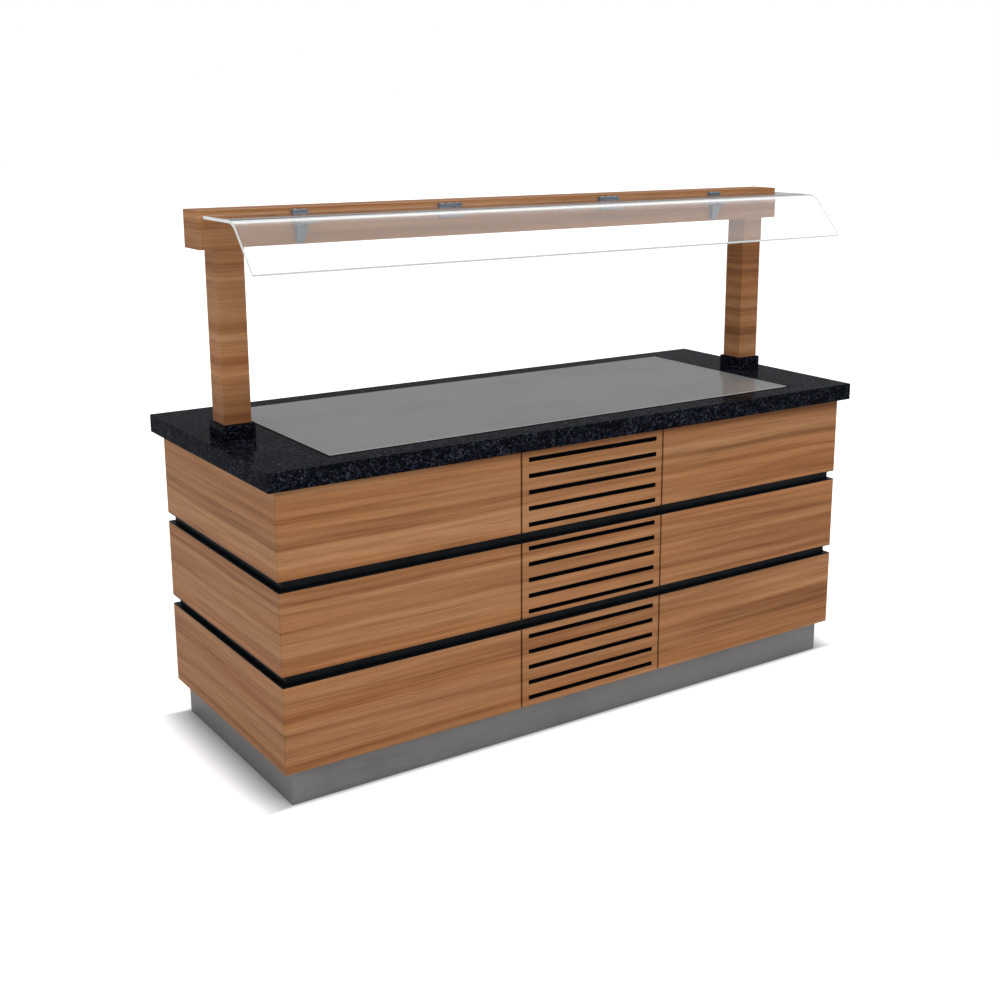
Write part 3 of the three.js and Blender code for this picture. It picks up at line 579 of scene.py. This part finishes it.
def screw_head(shape, place, axis, radius, height):
    """A button head with a hexagonal recess, its face towards the end of the axis."""
    recess = radius * 0.5
    profile = [
        (radius, 0),
        (radius, height * 0.35),
        (radius * 0.86, height * 0.75),
        (radius * 0.66, height),
        (recess, height),
        (recess, height * 0.45),
        (0, height * 0.38),
    ]
    turn = Matrix.Translation(place) @ AXES[axis]
    sides = 24
    rings = []
    for index, (r, h) in enumerate(profile):
        ring = []
        for i in range(sides):
            angle = 2 * math.pi * i / sides
            here = r
            if 4 <= index <= 5:
                sector = (angle % (math.pi / 3)) - math.pi / 6
                here = r * math.cos(math.pi / 6) / math.cos(sector)
            here = max(here, 0.01 * MM)
            ring.append(turn @ Vector((here * math.cos(angle), here * math.sin(angle), h)))
        rings.append(ring)
    shape.rings(rings)


def screws(name, body, places, axis, radius, height):
    shape = Shape()
    for place in places:
        screw_head(shape, place, axis, radius, height)
    shape.piece(name, body, finish=BRIGHT_STEEL, smooth=30)


CLAMP_SCREWS = {"outer": (-13 * MM, 13 * MM), "inner": (-24 * MM, 0, 24 * MM)}

for side in SIDES:
    for clamp, offsets in CLAMP_SCREWS.items():
        low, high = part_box(f"glass_clamp_{clamp}_{side}")
        at = (low + high) / 2
        places = [(at.x + offset, at.y, high.z) for offset in offsets]
        screws(f"{clamp}_clamp_screws_{side}", "counter", places, "Z", 3 * MM, 1.6 * MM)


# ---------------------------------------------------------------- door hinges and grooves

DOOR_HINGE_HEIGHTS = (0.215, 0.495)
KNUCKLE = 14 * MM
KNUCKLE_GAP = 0.5 * MM
BARREL = 2.8 * MM
LEAF = 0.8 * MM
LEAF_DEPTH = 17 * MM
LINER_DEPTH = 14.8 * MM
LINER_SETBACK = 0.6 * MM
LINER_SKIN = 1 * MM
LINER_PLAY = 0.3 * MM


def build_hinges(door):
    """Two barrel hinges beside a door, with every other knuckle on the door."""
    joint = next(j for j in frame["joints"] if j["name"] == f"{door}_hinge")
    x, y = joint["pos_m"][:2]
    door_way = 1 if middle(door).x > x else -1
    for owner, rides_on in (("frame", "counter"), ("leaf", door)):
        shape = Shape()
        way = door_way if owner == "leaf" else -door_way
        for height in DOOR_HINGE_HEIGHTS:
            for index in range(-2, 3):
                if (index % 2 == 0) != (owner == "frame"):
                    continue
                z = height + (index - 0.5) * KNUCKLE + KNUCKLE_GAP / 2
                length = KNUCKLE - KNUCKLE_GAP
                shape.turned([(BARREL, 0), (BARREL, length)], (x, y, z), sides=20)
                inner = x + way * 0.1 * MM
                plate = sorted((inner, inner + way * LEAF))
                shape.block(plate, (y - LEAF_DEPTH, y - 1 * MM), (z, z + length))
            if owner == "frame":
                rod = [(1.6 * MM, -2.7 * KNUCKLE), (1.6 * MM, 2.7 * KNUCKLE)]
                shape.turned(rod, (x, y, height), sides=16)
        shape.piece(f"{door}_hinge_{owner}", rides_on, finish=BRIGHT_STEEL)


def build_gap_liner(door):
    """The black lining of the lower shadow gap where it crosses a door."""
    low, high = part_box(door)
    gap_low, gap_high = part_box("shadow_gap_channel_lower")
    z0 = gap_low.z
    z1 = gap_high.z
    back = high.y - LINER_DEPTH
    front = high.y - LINER_SETBACK
    section = [
        (front, z0),
        (back, z0),
        (back, z1),
        (front, z1),
        (front, z1 - LINER_SKIN),
        (back + LINER_SKIN, z1 - LINER_SKIN),
        (back + LINER_SKIN, z0 + LINER_SKIN),
        (front, z0 + LINER_SKIN),
    ]
    liner = Shape().prism(section, "X", low.x + LINER_PLAY, high.x - LINER_PLAY)
    liner.piece(f"{door}_gap_liner", door, "black_metal", smooth=30)


for door in ("storage_door_left", "storage_door_right", "service_door"):
    build_hinges(door)
    build_gap_liner(door)


# ---------------------------------------------------------------- grille linings

TIERS = {"bottom": (0.100, 0.335), "middle": (0.365, 0.585), "top": (0.615, 0.850)}
SLOT_HEIGHT = 13 * MM
SLOT_PITCH = 46 * MM
SLOTS_PER_TIER = 5
LINING = 0.5 * MM
LINING_PLAY = 0.06 * MM
TOP_SLOT_DROP = 5.5 * MM
GRILLE_SLOT_HALF = 224 * MM
LOUVRE_SLOT_HALF = 214 * MM
SHADE_SHEET_OVERLAP = 4 * MM
SHADE_SHEET_BORDER = 14 * MM


def line_slots(name, body, tier, slot_half, face, back):
    """Black sleeves in a tier's slots, with a black sheet across their backs: painted shade for the dark bay
    behind.
    """
    low_z, high_z = TIERS[tier]
    drop = TOP_SLOT_DROP if tier == "top" else 0
    inward = 1 if back > face else -1
    mouth = face + inward * 0.6 * MM
    end = back - inward * 0.1 * MM
    shape = Shape()
    for index in range(SLOTS_PER_TIER):
        z = (low_z + high_z) / 2 - drop + (index - (SLOTS_PER_TIER - 1) / 2) * SLOT_PITCH
        rings = []
        for inset, y in ((0, mouth), (0, end), (LINING, end), (LINING, mouth)):
            half_x = slot_half - LINING_PLAY - inset
            half_z = SLOT_HEIGHT / 2 - LINING_PLAY - inset
            corners = ((-1, -1), (1, -1), (1, 1), (-1, 1))
            rings.append([(sx * half_x, y, z + sz * half_z) for sx, sz in corners])
        shape.rings([*rings, rings[0]], closed=False)
    # The black sheet behind the slots is painted shade, standing in for the dark inside of the bay.
    shade_sheet = sorted((back + inward * 0.04 * MM, back + inward * 0.22 * MM))
    reach = slot_half + SHADE_SHEET_OVERLAP
    shape.block((-reach, reach), shade_sheet, (low_z + SHADE_SHEET_BORDER, high_z - SHADE_SHEET_BORDER))
    shape.piece(name, body, "black_metal")


for tier in TIERS:
    low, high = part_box(f"front_grille_{tier}")
    line_slots(f"grille_lining_and_shade_sheet_{tier}", "counter", tier, GRILLE_SLOT_HALF, low.y, high.y)
for tier in ("bottom", "middle"):
    low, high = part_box("service_door")
    name = f"louvre_lining_and_shade_sheet_{tier}"
    line_slots(name, "service_door", tier, LOUVRE_SLOT_HALF, high.y, low.y)


# ---------------------------------------------------------------- controls

plate_low, plate_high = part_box("control_plate")
plate_face = plate_high.y
knob_joint = next(j for j in frame["joints"] if j["name"] == "thermostat_turn")
knob_x, _, knob_z = knob_joint["pos_m"]
knob_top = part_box("thermostat_knob")[1].y


def build_knob():
    skirt = 21 * MM
    grip = 17 * MM
    base = 0.6 * MM
    height = knob_top - plate_face - 2 * MM

    def fluted(angle, radius, along):
        depth = 0.045 if grip * 0.9 < radius < skirt * 0.96 and along > 5 * MM else 0.0
        return 1 - depth * (0.5 + 0.5 * math.cos(24 * angle))

    profile = [
        (4.5 * MM, -22 * MM),
        (4.5 * MM, base),
        (skirt - 0.6 * MM, base),
        (skirt, base + 0.8 * MM),
        (skirt, 3.2 * MM),
        (skirt - 0.8 * MM, 4.2 * MM),
        (19 * MM, 5.5 * MM),
        (17.6 * MM, height - 2 * MM),
        (16.4 * MM, height - 0.5 * MM),
        (15 * MM, height),
        (11 * MM, height - 0.5 * MM),
        (0, height - 0.8 * MM),
    ]
    place = (knob_x, plate_face, knob_z)
    shape = Shape().turned(profile, place, "Y", sides=96, ripple=fluted)
    bar = 2.4 * MM
    shape.prism(
        [
            (knob_x - bar, knob_z - 12 * MM),
            (knob_x + bar, knob_z - 12 * MM),
            (knob_x + bar, knob_z + 15 * MM),
            (knob_x + 1.2 * MM, knob_z + 16.5 * MM),
            (knob_x - 1.2 * MM, knob_z + 16.5 * MM),
            (knob_x - bar, knob_z + 15 * MM),
        ],
        "Y",
        plate_face + height - 3 * MM,
        knob_top - 0.3 * MM,
    )
    shape.piece(
        "thermostat_dial", "thermostat_knob", "black_plastic", stands_for=["thermostat_knob"]
    )
    mark = Shape().block(
        (knob_x - 0.7 * MM, knob_x + 0.7 * MM),
        (knob_top - 0.4 * MM, knob_top),
        (knob_z + 3 * MM, knob_z + 15.5 * MM),
    )
    mark.piece("thermostat_pointer", "thermostat_knob", finish=MARKING_WHITE)


build_knob()

TICKS = 11
TICK_STEP = math.radians(27)
TICK_DEPTH = 0.25 * MM
TICK_START = 24 * MM


def build_scale():
    """Ticks round the dial, longer and wider at the ends and in the middle."""
    shape = Shape()
    for index in range(TICKS):
        long_tick = index % 5 == 0
        end = (30 if long_tick else 27.5) * MM
        half = (0.6 if long_tick else 0.4) * MM
        turn = Matrix.Translation((knob_x, plate_face, knob_z))
        turn @= Matrix.Rotation(TICK_STEP * index, 4, "Y")
        corners = ((-half, 0), (half, 0), (half, TICK_DEPTH), (-half, TICK_DEPTH))
        rings = [[turn @ Vector((x, y, z)) for x, y in corners] for z in (TICK_START, end)]
        shape.rings(rings)
    shape.piece("thermostat_scale", "counter", finish=FINISHES["black_plastic"])


build_scale()

SCREW_INSET = 8 * MM
places = [
    (x, plate_face, z)
    for x in (plate_low.x + SCREW_INSET, plate_high.x - SCREW_INSET)
    for z in (plate_low.z + SCREW_INSET, plate_high.z - SCREW_INSET)
]
screws("control_plate_screws", "counter", places, "Y", 3.4 * MM, 1.6 * MM)

switch_mid = middle("power_switch")
lamp = middle("pilot_lamp")


def frame_ring(width, height, band, depth):
    """A bezel round the switch's window, rounded on its outer face."""
    rings = []
    for inset, along in ((0, 0), (0, depth * 0.6), (band * 0.3, depth), (band, depth), (band, 0)):
        half_x = width / 2 - inset
        half_z = height / 2 - inset
        ring = []
        for corner in range(4):
            for step in range(5):
                angle = math.pi / 2 * (corner + step / 4)
                radius = max(2.2 * MM - inset * 0.5, 0.4 * MM)
                sign_x = 1 if corner in (0, 3) else -1
                sign_z = 1 if corner in (0, 1) else -1
                x = switch_mid.x + sign_x * (half_x - radius) + radius * math.cos(angle)
                z = knob_z + sign_z * (half_z - radius) + radius * math.sin(angle)
                ring.append((x, plate_face + along, z))
        rings.append(ring)
    rings.append(rings[0])
    return Shape().rings(rings, closed=False)


BEZEL = {"width": 37 * MM, "height": 30.5 * MM, "band": 4 * MM, "depth": 1.8 * MM}
MARKS = (("on", 5.2 * MM, 3.95 * MM), ("off", -5.2 * MM, 1.95 * MM))

frame_ring(**BEZEL).piece("switch_bezel", "counter", "black_plastic")
for name, offset, rise in MARKS:
    y = plate_face + rise
    z = knob_z + offset
    if name == "on":
        mark = Shape().block(
            (switch_mid.x - 0.5 * MM, switch_mid.x + 0.5 * MM),
            (y - 1 * MM, y + 0.05 * MM),
            (z - 1.2 * MM, z + 1.2 * MM),
        )
    else:
        ring = circle((switch_mid.x, y + 0.02 * MM, z), 1.5 * MM, "Y", 24)
        mark = Shape().tube(ring, 0.25 * MM, 6, loop=True)
    mark.piece(f"switch_mark_{name}", "power_switch", finish=MARKING_WHITE)

collar = circle((lamp.x, plate_face + 0.9 * MM, lamp.z), 8.3 * MM, "Y")
Shape().tube(collar, 1.1 * MM, 10, loop=True).piece("lamp_collar", "counter", finish=BRIGHT_STEEL)


# ---------------------------------------------------------------- cooling unit

shroud_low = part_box("fan_shroud")[0]
rotor = middle("fan_rotor")
coil_low, coil_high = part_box("condenser")


def build_condenser():
    """Thin fins on a frame, with the tube's bends at both ends."""
    pack = Shape()
    frame_width = 9 * MM
    low, high = coil_low, coil_high
    pitch = 4.5 * MM
    count = int((high.x - low.x - 2 * frame_width) / pitch)
    start = (low.x + high.x) / 2 - pitch * (count - 1) / 2
    for index in range(count):
        x = start + index * pitch
        pack.block((x, x + 0.35 * MM), (low.y, high.y), (low.z + 3 * MM, high.z - 3 * MM))
    pack.piece("condenser_fins", "counter", "fins", stands_for=["condenser"])

    ends = Shape()
    for x in (low.x, high.x - 1.5 * MM):
        ends.block((x, x + 1.5 * MM), (low.y, high.y), (low.z, high.z))
    for z in (low.z, high.z - 1.5 * MM):
        ends.block((low.x, high.x), (low.y, high.y), (z, z + 1.5 * MM))
    ends.piece("condenser_frame", "counter", "carcass_steel")

    pipe = Shape()
    rows = 10
    spacing = (high.z - low.z - 40 * MM) / (rows - 1)
    y = (low.y + high.y) / 2
    for row in range(rows):
        z = low.z + 20 * MM + row * spacing
        run = [(low.x - 4 * MM, y, z), (high.x + 4 * MM, y, z)]
        pipe.tube(run, 4 * MM, 12)
        if row < rows - 1:
            way = 1 if row % 2 == 0 else -1
            x = (high.x if way > 0 else low.x) + way * 4 * MM
            bend = []
            for step in range(9):
                angle = math.pi * step / 8
                reach = spacing / 2
                out = way * reach * math.sin(angle)
                up = reach * (1 - math.cos(angle))
                bend.append((x + out, y, z + up))
            pipe.tube(bend, 4 * MM, 12)
    pipe.piece("condenser_tube", "counter", "copper")


def build_rotor():
    """Five swept, twisted blades on a domed hub."""
    shape = Shape()
    hub = [
        (0, -18 * MM),
        (15 * MM, -18 * MM),
        (21 * MM, -16.5 * MM),
        (25.5 * MM, -12 * MM),
        (28 * MM, -5 * MM),
        (28 * MM, 11 * MM),
        (26.5 * MM, 12 * MM),
        (0, 12 * MM),
    ]
    shape.turned(hub, rotor, "Y", sides=48)
    tip = 88 * MM
    root = 25 * MM
    half_thick = 0.9 * MM
    for blade in range(5):
        base = 2 * math.pi * blade / 5
        rings = []
        for step in range(9):
            t = step / 8
            radius = root + (tip - root) * t
            sweep = base + 0.35 * t * t
            twist = math.radians(34 - 16 * t)
            chord = (22 + 22 * math.sin(math.pi * (0.15 + 0.7 * t))) * MM
            section = []
            for k in range(12):
                around = 2 * math.pi * k / 12
                u = chord / 2 * math.cos(around)
                v = half_thick * math.sin(around) + 2.5 * MM * (1 - math.cos(around) ** 2)
                tangent = u * math.cos(twist) - v * math.sin(twist)
                along = u * math.sin(twist) + v * math.cos(twist)
                angle = sweep + tangent / radius
                x = rotor.x + radius * math.sin(angle)
                z = rotor.z + radius * math.cos(angle)
                section.append((x, rotor.y - 3 * MM + along, z))
            rings.append(section)
        shape.rings(rings)
    shape.piece("fan_blades", "fan_rotor", "black_plastic", stands_for=["fan_rotor"])


def build_fan_guard():
    """Concentric wires on four spokes behind the fan."""
    shape = Shape()
    wire = 1.1 * MM
    y = shroud_low.y + 45.5 * MM
    for ring in range(5):
        radius = (42 + 14 * ring) * MM
        shape.tube(circle((rotor.x, y, rotor.z), radius, "Y", 56), wire, 8, loop=True)
    for spoke in range(4):
        angle = math.pi / 4 + math.pi / 2 * spoke
        ends = []
        for radius in (40 * MM, 103 * MM):
            ends.append((rotor.x + radius * math.cos(angle), y, rotor.z + radius * math.sin(angle)))
        shape.tube(ends, wire * 1.3, 8)
    shape.piece("fan_guard", "counter", "tube_steel")


SUCTION_TOP = 0.792


def build_compressor():
    """Hermetic shell with its weld seam, terminal box, feet and pipes."""
    low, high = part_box("compressor")
    at = (low + high) / 2
    tall = high.z - low.z
    profile = [
        (0, 6 * MM),
        (52 * MM, 6 * MM),
        (70 * MM, 12 * MM),
        (83 * MM, 24 * MM),
        (87 * MM, 44 * MM),
        (87 * MM, 88 * MM),
        (90 * MM, 90 * MM),
        (90 * MM, 96 * MM),
        (86.5 * MM, 98 * MM),
        (86 * MM, 118 * MM),
        (80 * MM, 142 * MM),
        (66 * MM, 162 * MM),
        (46 * MM, 174 * MM),
        (22 * MM, 180 * MM),
        (0, tall),
    ]
    place = (at.x, at.y, low.z)
    shell = Shape().turned(profile, place, sides=64)
    for side in (-1, 1):
        x = at.x + side * 46 * MM
        shell.block(
            (x - 18 * MM, x + 18 * MM),
            (at.y - 80 * MM, at.y + 80 * MM),
            (low.z + 5 * MM, low.z + 9 * MM),
        )
    shell.piece("compressor_shell", "counter", "black_shell", smooth=40, stands_for=["compressor"])

    mounts = Shape()
    for side in (-1, 1):
        for end in (-1, 1):
            centre = (at.x + side * 46 * MM, at.y + end * 70 * MM, low.z)
            profile = [(0, 0), (9 * MM, 0), (10 * MM, 1.5 * MM), (8 * MM, 5 * MM), (8 * MM, 9 * MM)]
            profile += [(10 * MM, 9 * MM), (10 * MM, 13 * MM), (8 * MM, 14 * MM), (0, 14 * MM)]
            mounts.turned(profile, centre, sides=20)
    mounts.piece("compressor_grommets", "counter", "black_rubber")

    case = Shape().block(
        (at.x + 84 * MM, at.x + 116 * MM),
        (at.y - 32 * MM, at.y + 32 * MM),
        (low.z + 66 * MM, low.z + 132 * MM),
    )
    case.piece("compressor_terminal_box", "counter", "black_plastic", bevel=4 * MM)

    pipes = Shape()
    condenser_y = (coil_low.y + coil_high.y) / 2
    discharge = [
        (at.x - 84 * MM, at.y, low.z + 60 * MM),
        (at.x - 120 * MM, at.y, low.z + 60 * MM),
        (at.x - 120 * MM, at.y, low.z + 190 * MM),
        (coil_low.x - 34 * MM, at.y - 60 * MM, low.z + 260 * MM),
        (coil_low.x - 34 * MM, condenser_y, coil_high.z - 20 * MM),
        (coil_low.x - 3 * MM, condenser_y, coil_high.z - 20 * MM),
    ]
    pipes.tube(rounded(discharge, 26 * MM), 3.2 * MM, 12)
    suction = [
        (at.x, at.y + 60 * MM, low.z + 160 * MM),
        (at.x, at.y + 60 * MM, low.z + 300 * MM),
        (at.x + 60 * MM, at.y + 20 * MM, low.z + 420 * MM),
        (at.x + 60 * MM, at.y, SUCTION_TOP),
    ]
    pipes.tube(rounded(suction, 40 * MM), 4.8 * MM, 12)
    pipes.piece("refrigerant_pipes", "counter", "copper")


build_condenser()
build_rotor()
build_fan_guard()
build_compressor()


# ---------------------------------------------------------------- feet and gland


def build_foot(node, body):
    """A domed pad on a threaded stem."""
    low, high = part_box(node)
    at = (low + high) / 2
    pad = 28 * MM
    stem = 12 * MM
    profile = [
        (0, 0),
        (pad - 3 * MM, 0),
        (pad - 0.8 * MM, 0.8 * MM),
        (pad, 3 * MM),
        (pad, 6 * MM),
        (pad - 2 * MM, 8 * MM),
        (18 * MM, 10 * MM),
        (13 * MM, 13 * MM),
        (stem, 15 * MM),
    ]
    thread = 17 * MM
    pitch = 2.5 * MM
    while thread + pitch < high.z - low.z:
        profile += [(stem - 1 * MM, thread), (stem, thread + pitch / 2)]
        thread += pitch
    profile += [(stem - 1.2 * MM, high.z - low.z), (0, high.z - low.z)]
    foot = Shape().turned(profile, (at.x, at.y, low.z), sides=32)
    foot.piece(f"{node}_screw", body, "black_plastic", smooth=30, stands_for=[node])


for end in ("front", "rear"):
    for side in SIDES:
        build_foot(f"levelling_foot_{end}_{side}", f"foot_{end}_{side}")


def build_gland():
    """A flange, a ribbed dome nut and a bore."""
    centre = middle("cable_gland")
    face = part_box("plinth_skirt")[1].y

    def ribs(angle, radius, along):
        depth = 0.05 if 8 * MM < along < 15.5 * MM else 0.0
        return 1 - depth * (0.5 + 0.5 * math.cos(16 * angle))

    profile = [
        (5 * MM, -24 * MM),
        (10 * MM, -24 * MM),
        (10 * MM, 0.3 * MM),
        (15 * MM, 0.3 * MM),
        (15 * MM, 6 * MM),
        (14 * MM, 7 * MM),
        (12.8 * MM, 7.4 * MM),
        (12.8 * MM, 9 * MM),
        (12.4 * MM, 13 * MM),
        (11.4 * MM, 15.4 * MM),
        (9 * MM, 17.2 * MM),
        (6.5 * MM, 18 * MM),
        (5.4 * MM, 17.8 * MM),
        (5 * MM, 16 * MM),
        (5 * MM, -24 * MM),
    ]
    place = (centre.x, face, centre.z)
    gland = Shape().turned(profile, place, "Y", sides=64, ripple=ribs, closed=False)
    gland.piece("gland_nut", "counter", "black_plastic", stands_for=["cable_gland"])


build_gland()


# ---------------------------------------------------------------- stage, light and camera

PAINTED_SHADE_WIDTH = 0.13
FLOOR_HALF = 40.0


def build_floor():
    """Pale floor, white but for a painted strip of shadow along the counter's ends."""
    finish = Finish("floor", Roughness=0.9, Specular_IOR_Level=0.0)
    place = finish.add("SeparateXYZ", {"Vector": finish.place.outputs["Object"]}).outputs
    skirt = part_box("plinth_skirt")[1]
    beside = finish.math("SUBTRACT", finish.math("ABSOLUTE", place["X"]), skirt.x)
    ahead = finish.math("SUBTRACT", finish.math("ABSOLUTE", place["Y"]), skirt.y)
    clear_of_ends = finish.add(
        "MapRange", {"Value": beside, "From_Max": PAINTED_SHADE_WIDTH}, interpolation_type="SMOOTHSTEP"
    )
    clear_of_front = finish.add("MapRange", {"Value": ahead, "From_Max": PAINTED_SHADE_WIDTH / 6})
    clear = finish.math(
        "MAXIMUM", clear_of_ends.outputs["Result"], clear_of_front.outputs["Result"]
    )
    far = finish.add("MapRange", {"Value": finish.math("MAXIMUM", beside, ahead)})
    finish.set(far, {"From_Min": 1.0, "From_Max": 6.0, "To_Max": 0.2})
    # The floor's glow keeps it white; it fades out in the painted shadow beside the plinth's ends.
    glow = finish.math("ADD", finish.math("MULTIPLY", clear, 0.45), far.outputs["Result"])
    path = finish.add("LightPath").outputs
    seen = finish.math("MAXIMUM", path["Is Camera Ray"], path["Is Transmission Ray"])
    # The colour darkens to 0.55 grey beside the plinth's ends: a painted shadow.
    tone = finish.ramp(clear, (0.0, grey(0.55)), (1.0, grey(0.9)))
    finish.set(finish.shader, {"Base_Color": tone})
    finish.set(finish.shader, {"Emission_Color": grey(1.0)})
    finish.set(finish.shader, {"Emission_Strength": finish.math("MULTIPLY", glow, seen)})
    mesh = bpy.data.meshes.new("floor")
    corners = [(x * FLOOR_HALF, y * FLOOR_HALF, 0) for x, y in ((-1, -1), (1, -1), (1, 1), (-1, 1))]
    mesh.from_pydata(corners, [], [(0, 1, 2, 3)])
    mesh.materials.append(finish.material)
    floor = bpy.data.objects.new("floor", mesh)
    SCENE.collection.objects.link(floor)


def build_world():
    """White to the eye and through glass. Reflections see a dim horizon under a bright ceiling."""
    world = bpy.data.worlds.new("studio")
    world.use_nodes = True
    SCENE.world = world
    nodes = world.node_tree.nodes
    links = world.node_tree.links
    backdrop = nodes["Background"]
    place = nodes.new("ShaderNodeTexCoord")
    height = nodes.new("ShaderNodeSeparateXYZ")
    ramp = nodes.new("ShaderNodeValToRGB")
    elements = ramp.color_ramp.elements
    elements[0].position = 0.12
    elements[0].color = grey(0.32)
    elements[1].position = 0.75
    elements[1].color = grey(0.85)
    path = nodes.new("ShaderNodeLightPath")
    seen = nodes.new("ShaderNodeMath")
    seen.operation = "MAXIMUM"
    mix = nodes.new("ShaderNodeMixRGB")
    mix.inputs["Color2"].default_value = grey(1.0)
    links.new(place.outputs["Generated"], height.inputs["Vector"])
    links.new(height.outputs["Z"], ramp.inputs["Fac"])
    links.new(path.outputs["Is Camera Ray"], seen.inputs[0])
    links.new(path.outputs["Is Transmission Ray"], seen.inputs[1])
    links.new(seen.outputs["Value"], mix.inputs["Fac"])
    links.new(ramp.outputs["Color"], mix.inputs["Color1"])
    links.new(mix.outputs["Color"], backdrop.inputs["Color"])


def add_light(name, place, aim, size, power, mirrored=True, lights=True):
    """A soft box, which can be left out of mirror images or be seen only in them."""
    data = bpy.data.lights.new(name, "AREA")
    data.shape = "RECTANGLE"
    data.size, data.size_y = size
    data.energy = power
    light = bpy.data.objects.new(name, data)
    light.location = place
    light.visible_glossy = mirrored
    light.visible_diffuse = lights
    light.rotation_euler = (Vector(aim) - Vector(place)).to_track_quat("-Z", "Y").to_euler()
    SCENE.collection.objects.link(light)


def build_camera():
    data = bpy.data.cameras.new("camera")
    data.lens = 49.779
    data.sensor_width = 36.0
    data.shift_x = -0.03727
    data.shift_y = -0.06519
    data.clip_end = 200.0
    camera = bpy.data.objects.new("camera", data)
    camera.location = (-2.28102, -3.37201, 1.74137)
    tilt, roll, turn = 76.8, -0.1236, -34.798
    camera.rotation_euler = Euler((math.radians(tilt), math.radians(roll), math.radians(turn)))
    SCENE.collection.objects.link(camera)
    SCENE.camera = camera


build_floor()
build_world()
add_light("key", place=(-0.3, -5.0, 4.8), aim=(0, 0, 0.5), size=(5.0, 4.0), power=190.0)
add_light(
    "side",
    place=(-6.5, -0.5, 1.7),
    aim=(-1.0, 0, 0.6),
    size=(3.0, 2.0),
    power=53.0,
    mirrored=False,
)
add_light("ceiling", place=(0.5, 0.5, 5.0), aim=(0.5, 0, 0), size=(5.0, 5.0), power=60.0)
# Carries the ceiling's mirror image on to the right end of the glass.
add_light(
    "ceiling_image",
    place=(5.0, 0.5, 5.0),
    aim=(5.0, 0, 0),
    size=(4.0, 5.0),
    power=48.0,
    lights=False,
)
build_camera()
SCENE.view_settings.view_transform = "Standard"
